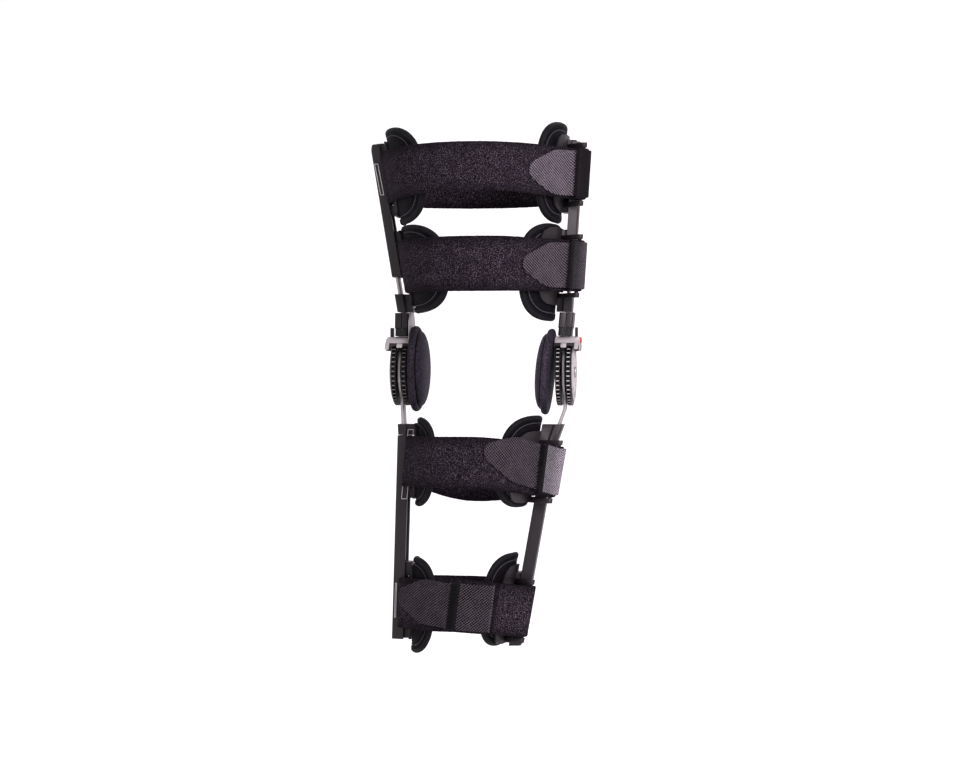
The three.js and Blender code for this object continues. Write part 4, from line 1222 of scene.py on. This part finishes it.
def pocket_disc(name, side, inner):
    """Hinge disc: two flanges, and square stop pockets between ribs round the rim."""
    pockets = sizes().pockets
    radius, thick, bore = DISC_RADIUS, DISC_THICK, PIN_RADIUS + GAP
    rim = [(radius - DISC_EDGE, 0), (radius, DISC_EDGE), (radius, DISC_FLANGE), (radius, thick - DISC_FLANGE),
           (radius, thick - DISC_EDGE), (radius - DISC_EDGE, thick)]
    flat, hub = radius - DISC_RELIEF["rim"], DISC_RELIEF["hub"]
    sunk, lead = DISC_RELIEF["sunk"], DISC_RELIEF["lead"]
    face = [(flat, thick), (flat - sunk, thick - sunk), (hub + sunk, thick - sunk), (hub, thick),
            (bore + lead, thick), (bore, thick - lead)]
    section = rim + face + [(r, thick - u) for r, u in reversed(face)]
    turns = [math.tau * (k + share) / pockets for k in range(pockets) for share in (0, POCKET_SHARE)]
    points = turned_points(side, [(r, inner + u) for r, u in section], turns)
    shrunk = (radius - POCKET_DEPTH) / radius
    faces, slots = [], []
    for number, quad in enumerate(ring_quads(len(section), len(turns), looped=True)):
        in_band = number // len(turns) == POCKET_BAND
        if in_band and number % 2 == 0:
            floor = len(points)
            points += [Vector((points[v].x, points[v].y * shrunk, points[v].z * shrunk)) for v in quad]
            for n in range(4):
                m = (n + 1) % 4
                faces.append((quad[n], quad[m], floor + m, floor + n))
            faces.append(tuple(range(floor, floor + 4)))
            slots += [0] * 5
        else:
            faces.append(quad)
            slots.append(int(in_band))
    return sharpened(mesh_piece(name, points, faces, ["disc", RIB[side]], slots), angle=28)


DIAL_RADIUS = 29
DIAL_STEPS = 72
# Face of a dial: its edge, the depth between rim and hub, and the flanks of both, the rim's measured inward
DIAL_RELIEF = {"edge": 0.3, "sunk": 0.4, "rim": (2, 2.5), "hub": (8.4, 9)}
# Scale marks of a dial: how many, where the short and long ones start, where they end, half their width,
# and their heights below the rim
MARKS = {"count": 24, "short": 22, "long": 19.5, "end": 25, "half": 0.35, "below": (0.5, 0.28)}
PIN_EDGE = 0.4
# Head of a pin: radius and height over the dial
PIN_HEAD = (
    (5.5, 0), (5.5, 0.7), (5.2, 1.2), (4.2, 1.6), (3.0, 1.7), (2.8, 1.5), (2.4, 1.5), (2.2, 1.75), (0, 1.9))


class KNEEBRACE_OT_hinge_discs(bpy.types.Operator):
    """Build the pocketed discs, the dial plates with their scale marks, and the hinge pins"""
    bl_idname = "kneebrace.hinge_discs"
    bl_label = "Hinge discs, dials and pins"

    def execute(self, context):
        for side in SIGN:
            for place, inner in (("inner", -DISC_FACE), ("outer", DISC_HALF_SPACE)):
                node = f"hinge_disc_{place}_{side}"
                stands_for(pocket_disc("moulded_" + node, side, inner), node, "thigh")
            self.dial(side, DISC_FACE + GAP)
            self.pin(side)
        return {"FINISHED"}

    def dial(self, side, inner):
        """Light plate with a raised rim and plain scale marks."""
        node = f"hinge_dial_{side}"
        radius, top, bore = DIAL_RADIUS, inner + DIAL_THICK, PIN_RADIUS + GAP
        edge, sunk = DIAL_RELIEF["edge"], DIAL_RELIEF["sunk"]
        (rim_high, rim_low), (hub_high, hub_low) = DIAL_RELIEF["rim"], DIAL_RELIEF["hub"]
        section = [(bore, inner), (radius - edge, inner), (radius, inner + edge), (radius, top - sunk),
                   (radius - sunk, top), (radius - rim_high, top), (radius - rim_low, top - sunk),
                   (hub_low, top - sunk), (hub_high, top), (bore + edge, top), (bore, top - edge)]
        points = turned_points(side, section, even_turns(DIAL_STEPS))
        faces = ring_quads(len(section), DIAL_STEPS, looped=True)
        plate = sharpened(mesh_piece("moulded_" + node, points, faces, ["cap"]), angle=25)
        points, faces = [], []
        for i in range(MARKS["count"]):
            turn = math.tau * (i + 0.5) / MARKS["count"]
            start, end = MARKS["short" if i % 3 else "long"], MARKS["end"]
            faces += shifted(ring_quads(2, 4) + end_faces(2, 4), len(points))
            for u in (top - below for below in MARKS["below"]):
                for reach, wide in ((start, -1), (end, -1), (end, 1), (start, 1)):
                    wide *= MARKS["half"]
                    points.append(hinge_point(side, u, reach * math.cos(turn) - wide * math.sin(turn),
                                              reach * math.sin(turn) + wide * math.cos(turn)))
        scale = mesh_piece("scale_marks", points, faces, ["mark"])
        stands_for(joined("moulded_" + node, [plate, scale]), node, "thigh")

    def pin(self, side):
        """Riveted pin with a domed head and a turned ring."""
        node = f"hinge_pin_{side}"
        foot, head = GAP - DISC_FACE, DISC_FACE + GAP + DIAL_THICK + GAP
        shank = [(0, foot), (PIN_RADIUS - PIN_EDGE, foot), (PIN_RADIUS, foot + PIN_EDGE), (PIN_RADIUS, head)]
        profile = shank + [(radius, head + u) for radius, u in PIN_HEAD]
        piece = sharpened(lathe("turned_" + node, side, profile, "steel"), angle=35)
        stands_for(piece, node, "thigh")


BLOCK = {
    "half_width": 7.1, "half_depth": 13, "neck_half_width": 6.6, "neck_half_depth": 12,
    "bottom": 35.9, "neck_top": 43.5, "step": 0.4, "top": 59, "chamfer": 1.5, "parting": 0.35,
    "fillet_share": 0.8,
}
# Cap over the discs: its outer radius, how deep its beads are sunk, the height below which its ends are
# painted dark as shade, and how far sideways a face may look to be part of an end
CAP = {"radius": 35.6, "sunk": 0.9, "painted_shade_apron": 29, "sideways": 0.5}
BEAD_STEPS = 8
# Raised parts on the ends of a cap, -1 front and 1 back: degrees from the top, half length down the cap,
# height and both sides. The middle one is left off the back, where the folded calf bar passes.
CAP_BEADS = (
    {"turn": 29.5, "half": 4.2, "height": 1.3, "sides": (-9, 14.5), "ends": (-1, 1)},
    {"turn": 43, "half": 5, "height": 0.7, "sides": (10.5, 14.5), "ends": (-1, 1)},
    {"turn": 42.5, "half": 3, "height": 1.2, "sides": (-2.8, 2.8), "ends": (-1,)},
)


def thigh_bar_x(side, z):
    """Middle of a thigh bar, which bends from the hinge to the line of its sleeve."""
    joins = UPRIGHTS["thigh", side]["z0"]
    share = min(1, max(0, (z - BAR_BEND) / (joins - BAR_BEND)))
    return lerp(SIGN[side] * HINGE_X, line_x("thigh", side, joins), share)


class KNEEBRACE_OT_hinge_bodies(bpy.types.Operator):
    """Round the edges of the caps, and build the two-part blocks that hold the thigh bars"""
    bl_idname = "kneebrace.hinge_bodies"
    bl_label = "Hinge caps and blocks"

    def execute(self, context):
        for side in SIGN:
            cap = f"hinge_cap_{side}"
            lips = [self.lip(side, facing, bead) for bead in CAP_BEADS for facing in bead["ends"]]
            stands_for(joined("moulded_" + cap, [self.saddle(cap), *lips]), cap, "thigh")
            block = f"hinge_block_{side}"
            halves = [self.half_block(side, facing) for facing in (-1, 1)]
            stands_for(joined("moulded_" + block, halves), block, "thigh")
        return {"FINISHED"}

    def saddle(self, node):
        """Cap with rounded edges, whose ends over the discs are painted darker than its top, as shade."""
        piece = edged_copy("saddle", node, "cap", sizes().fillet)
        piece.data.materials.append(material("painted_shade_apron"))
        # Faces low on the cap's front and back take the painted shade
        for face in piece.data.polygons:
            if face.center.z < CAP["painted_shade_apron"] * MM and abs(face.normal.x) < CAP["sideways"]:
                face.material_index = 1
        return piece

    def lip(self, side, facing, bead):
        """Half-round bead on the curve of the cap."""
        turn = math.radians(bead["turn"])
        middle = Vector((CAP["radius"] * math.sin(turn), CAP["radius"] * math.cos(turn)))
        out, along = middle.normalized(), Vector((math.cos(turn), -math.sin(turn)))
        half = bead["half"]
        outline = [middle - along * half - out * CAP["sunk"]]
        for t in (math.pi * i / BEAD_STEPS for i in range(BEAD_STEPS + 1)):
            outline.append(middle - along * half * math.cos(t) + out * bead["height"] * math.sin(t))
        outline.append(middle + along * half - out * CAP["sunk"])
        sections = [[hinge_point(side, u, facing * y, z) for y, z in outline] for u in bead["sides"]]
        return bevelled(prism("lip", sections, ["cap"]), sizes().fillet)

    def half_block(self, side, facing):
        """Half of a block, parted from the other along the bar's middle."""
        slot, slot_depth = BAR_HALF_THICK + GAP, BAR_HALF_DEPTH + GAP
        cut, parting, neck_top = BLOCK["chamfer"], BLOCK["parting"], BLOCK["neck_top"]

        def outline(width, depth):
            return [(parting, -depth), (width - cut, -depth), (width, -depth + cut), (width, depth - cut),
                    (width - cut, depth), (parting, depth), (parting, slot_depth), (slot, slot_depth),
                    (slot, -slot_depth), (parting, -slot_depth)]

        neck = outline(BLOCK["neck_half_width"], BLOCK["neck_half_depth"])
        body = outline(BLOCK["half_width"], BLOCK["half_depth"])
        levels = ((BLOCK["bottom"], neck), (neck_top, neck),
                  (neck_top + BLOCK["step"], body), (BLOCK["top"], body))
        sections = [[(thigh_bar_x(side, z) + facing * u, y, z) for u, y in shape] for z, shape in levels]
        half = prism("half_block", sections, ["nylon", "disc"], [1, 1, 0])
        return bevelled(half, sizes().fillet * BLOCK["fillet_share"])


LOCK_THICK = 2.4
LOCK_EDGE = 0.4
# Lock button: radius and height over its slide, and the height of its middle
BUTTON = (
    (0, 0), (3.2, 0), (3.4, 0.2), (3.4, 2.2), (3.2, 2.9), (2.7, 3.5), (2.1, 3.75), (1.4, 3.6), (0, 3.4))
BUTTON_Z = 31.5
BUTTON_STEPS = 32


class KNEEBRACE_OT_locks(bpy.types.Operator):
    """Build the lock slides and their red buttons"""
    bl_idname = "kneebrace.locks"
    bl_label = "Locks"

    def execute(self, context):
        for side in SIGN:
            slide, button, body = f"lock_slide_{side}", f"lock_button_{side}", f"lock_{side}"
            stands_for(edged_copy("moulded_" + slide, slide, "nylon", LOCK_EDGE * MM), slide, body)
            stands_for(self.button(side, button), button, body)
        return {"FINISHED"}

    def button(self, side, node):
        """Turned button with a dished top, set at the height of its slide."""
        foot = DISC_FACE + GAP + DIAL_THICK + 3 * GAP + LOCK_THICK
        profile = [(radius, foot + u) for radius, u in BUTTON]
        piece = lathe("moulded_" + node, side, profile, "lock", BUTTON_STEPS)
        for v in piece.data.vertices:
            v.co.z += BUTTON_Z * MM
        return piece


BAR_EDGE = 0.35


class KNEEBRACE_OT_bars(bpy.types.Operator):
    """Finish the spring steel bars"""
    bl_idname = "kneebrace.bars"
    bl_label = "Steel bars"

    def execute(self, context):
        for zone, side in UPRIGHTS:
            node = f"{zone}_bar_{side}"
            stands_for(edged_copy("brushed_" + node, node, "steel", BAR_EDGE * MM, 2), node, zone)
        return {"FINISHED"}


# Stage, in metres. The camera is level and a little to the right of the front, as the photograph's is.
CAMERA_DISTANCE = 2.0
CAMERA_TURN = 7
CAMERA_HEIGHT = -0.012
CAMERA_LENS = 75
SENSOR_WIDTH = 36
PICTURE_WIDTH = 960
PICTURE_SHIFT = 4
# Paper sweep: height of its floor, front edge, start and radius of its bend, top and half width
SWEEP = {"floor": -0.36, "front": -3.0, "bend": 1.2, "radius": 0.8, "top": 4.0, "half": 5.0}
WORLD_STRENGTH = 0.75
PANEL_TINT = (1, 0.91, 0.99)
# Soft light panels. The last two light only the few pieces that catch more light than the others.
PANELS = (
    {"name": "key_panel", "at": (0.85, -1.0, 0.6), "size": 0.7, "watts": 28, "only": ()},
    {"name": "fill_panel", "at": (-1.6, -1.3, 0.5), "size": 1.2, "watts": 10, "only": ()},
    {"name": "back_panel", "at": (0.3, 1.3, 1.5), "size": 1.0, "watts": 18, "only": ()},
    {"name": "side_panel", "at": (0.5, -1.2, 0.3), "size": 0.5, "watts": 22,
     "only": ("moulded_thigh_sleeve_right", "moulded_hinge_block_right", "moulded_calf_clip_upper_right",
              "moulded_thigh_clip_upper_left")},
    {"name": "dome_panel", "at": (-0.7, -1.0, 0.2), "size": 0.5, "watts": 32,
     "only": ("knit_condyle_pad_right",)},
)


class KNEEBRACE_OT_stage(bpy.types.Operator):
    """Set the pale floor that curves up behind, the soft lights and the camera"""
    bl_idname = "kneebrace.stage"
    bl_label = "Stage"

    def execute(self, context):
        self.floor()
        self.lights(context)
        self.camera(context)
        return {"FINISHED"}

    def floor(self):
        bend, radius = SWEEP["bend"], SWEEP["radius"]
        curve = [(bend + radius * math.sin(t), radius - radius * math.cos(t)) for t in quarter(12)]
        sweep = [(SWEEP["front"], 0.0), *curve, (bend + radius, SWEEP["top"])]
        points = [(x, y, SWEEP["floor"] + z) for y, z in sweep for x in (-SWEEP["half"], SWEEP["half"])]
        faces = [(2 * i, 2 * i + 1, 2 * i + 3, 2 * i + 2) for i in range(len(sweep) - 1)]
        mesh = bpy.data.meshes.new("paper_sweep")
        mesh.from_pydata(points, [], faces)
        mesh.materials.append(material("paper"))
        mesh.shade_smooth()
        linked("paper_sweep", mesh)

    def lights(self, context):
        world = bpy.data.worlds.new("white_studio")
        world.use_nodes = True
        sky = {"Color": (1, 1, 1, 1), "Strength": WORLD_STRENGTH}
        feed(world.node_tree, world.node_tree.nodes["Background"], sky)
        context.scene.world = world
        context.scene.view_settings.view_transform = "Standard"
        for panel in PANELS:
            lamp = bpy.data.lights.new(panel["name"], "AREA")
            lamp.shape = "SQUARE"
            lamp.size = panel["size"]
            lamp.energy = panel["watts"]
            lamp.color = PANEL_TINT
            holder = linked(panel["name"], lamp)
            holder.location = panel["at"]
            holder.rotation_euler = (-Vector(panel["at"])).to_track_quat("-Z", "Y").to_euler()
            if panel["only"]:
                lit = bpy.data.collections.new("lit_by_" + panel["name"])
                for name in panel["only"]:
                    lit.objects.link(bpy.data.objects[name])
                holder.light_linking.receiver_collection = lit

    def camera(self, context):
        turn = math.radians(CAMERA_TURN)
        lens = bpy.data.cameras.new("photo_camera")
        lens.lens = CAMERA_LENS
        lens.sensor_width = SENSOR_WIDTH
        lens.shift_x = -PICTURE_SHIFT / PICTURE_WIDTH
        holder = linked("photo_camera", lens)
        holder.location = (CAMERA_DISTANCE * math.sin(turn), -CAMERA_DISTANCE * math.cos(turn), CAMERA_HEIGHT)
        holder.rotation_euler = (math.pi / 2, 0, turn)
        context.scene.camera = holder


OPERATORS = (
    KNEEBRACE_OT_bars, KNEEBRACE_OT_sleeves, KNEEBRACE_OT_hinge_bodies, KNEEBRACE_OT_hinge_discs,
    KNEEBRACE_OT_locks, KNEEBRACE_OT_clips, KNEEBRACE_OT_side_pads, KNEEBRACE_OT_condyle_pads,
    KNEEBRACE_OT_straps, KNEEBRACE_OT_tabs, KNEEBRACE_OT_stage,
)


class KNEEBRACE_PT_panel(bpy.types.Panel):
    """Lists the brace's pieces with their sizes and colours"""
    bl_idname = "KNEEBRACE_PT_panel"
    bl_label = "Knee brace"
    bl_space_type = "VIEW_3D"
    bl_region_type = "UI"
    bl_category = "Knee brace"

    def draw(self, context):
        for group in (sizes(), colours()):
            column = self.layout.column(align=True)
            for key in group.__annotations__:
                column.prop(group, key)
        for operator in OPERATORS:
            self.layout.operator(operator.bl_idname)


CLASSES = (KNEEBRACE_PG_sizes, KNEEBRACE_PG_colours, *OPERATORS, KNEEBRACE_PT_panel)


def register():
    for cls in CLASSES:
        bpy.utils.register_class(cls)
    bpy.types.Scene.knee_brace_sizes = bpy.props.PointerProperty(type=KNEEBRACE_PG_sizes)
    bpy.types.Scene.knee_brace_colours = bpy.props.PointerProperty(type=KNEEBRACE_PG_colours)


def unregister():
    del bpy.types.Scene.knee_brace_sizes
    del bpy.types.Scene.knee_brace_colours
    for cls in reversed(CLASSES):
        bpy.utils.unregister_class(cls)


def main():
    register()
    for operator in OPERATORS:
        family, name = operator.bl_idname.split(".")
        getattr(getattr(bpy.ops, family), name)()


if __name__ == "__main__":
    main()
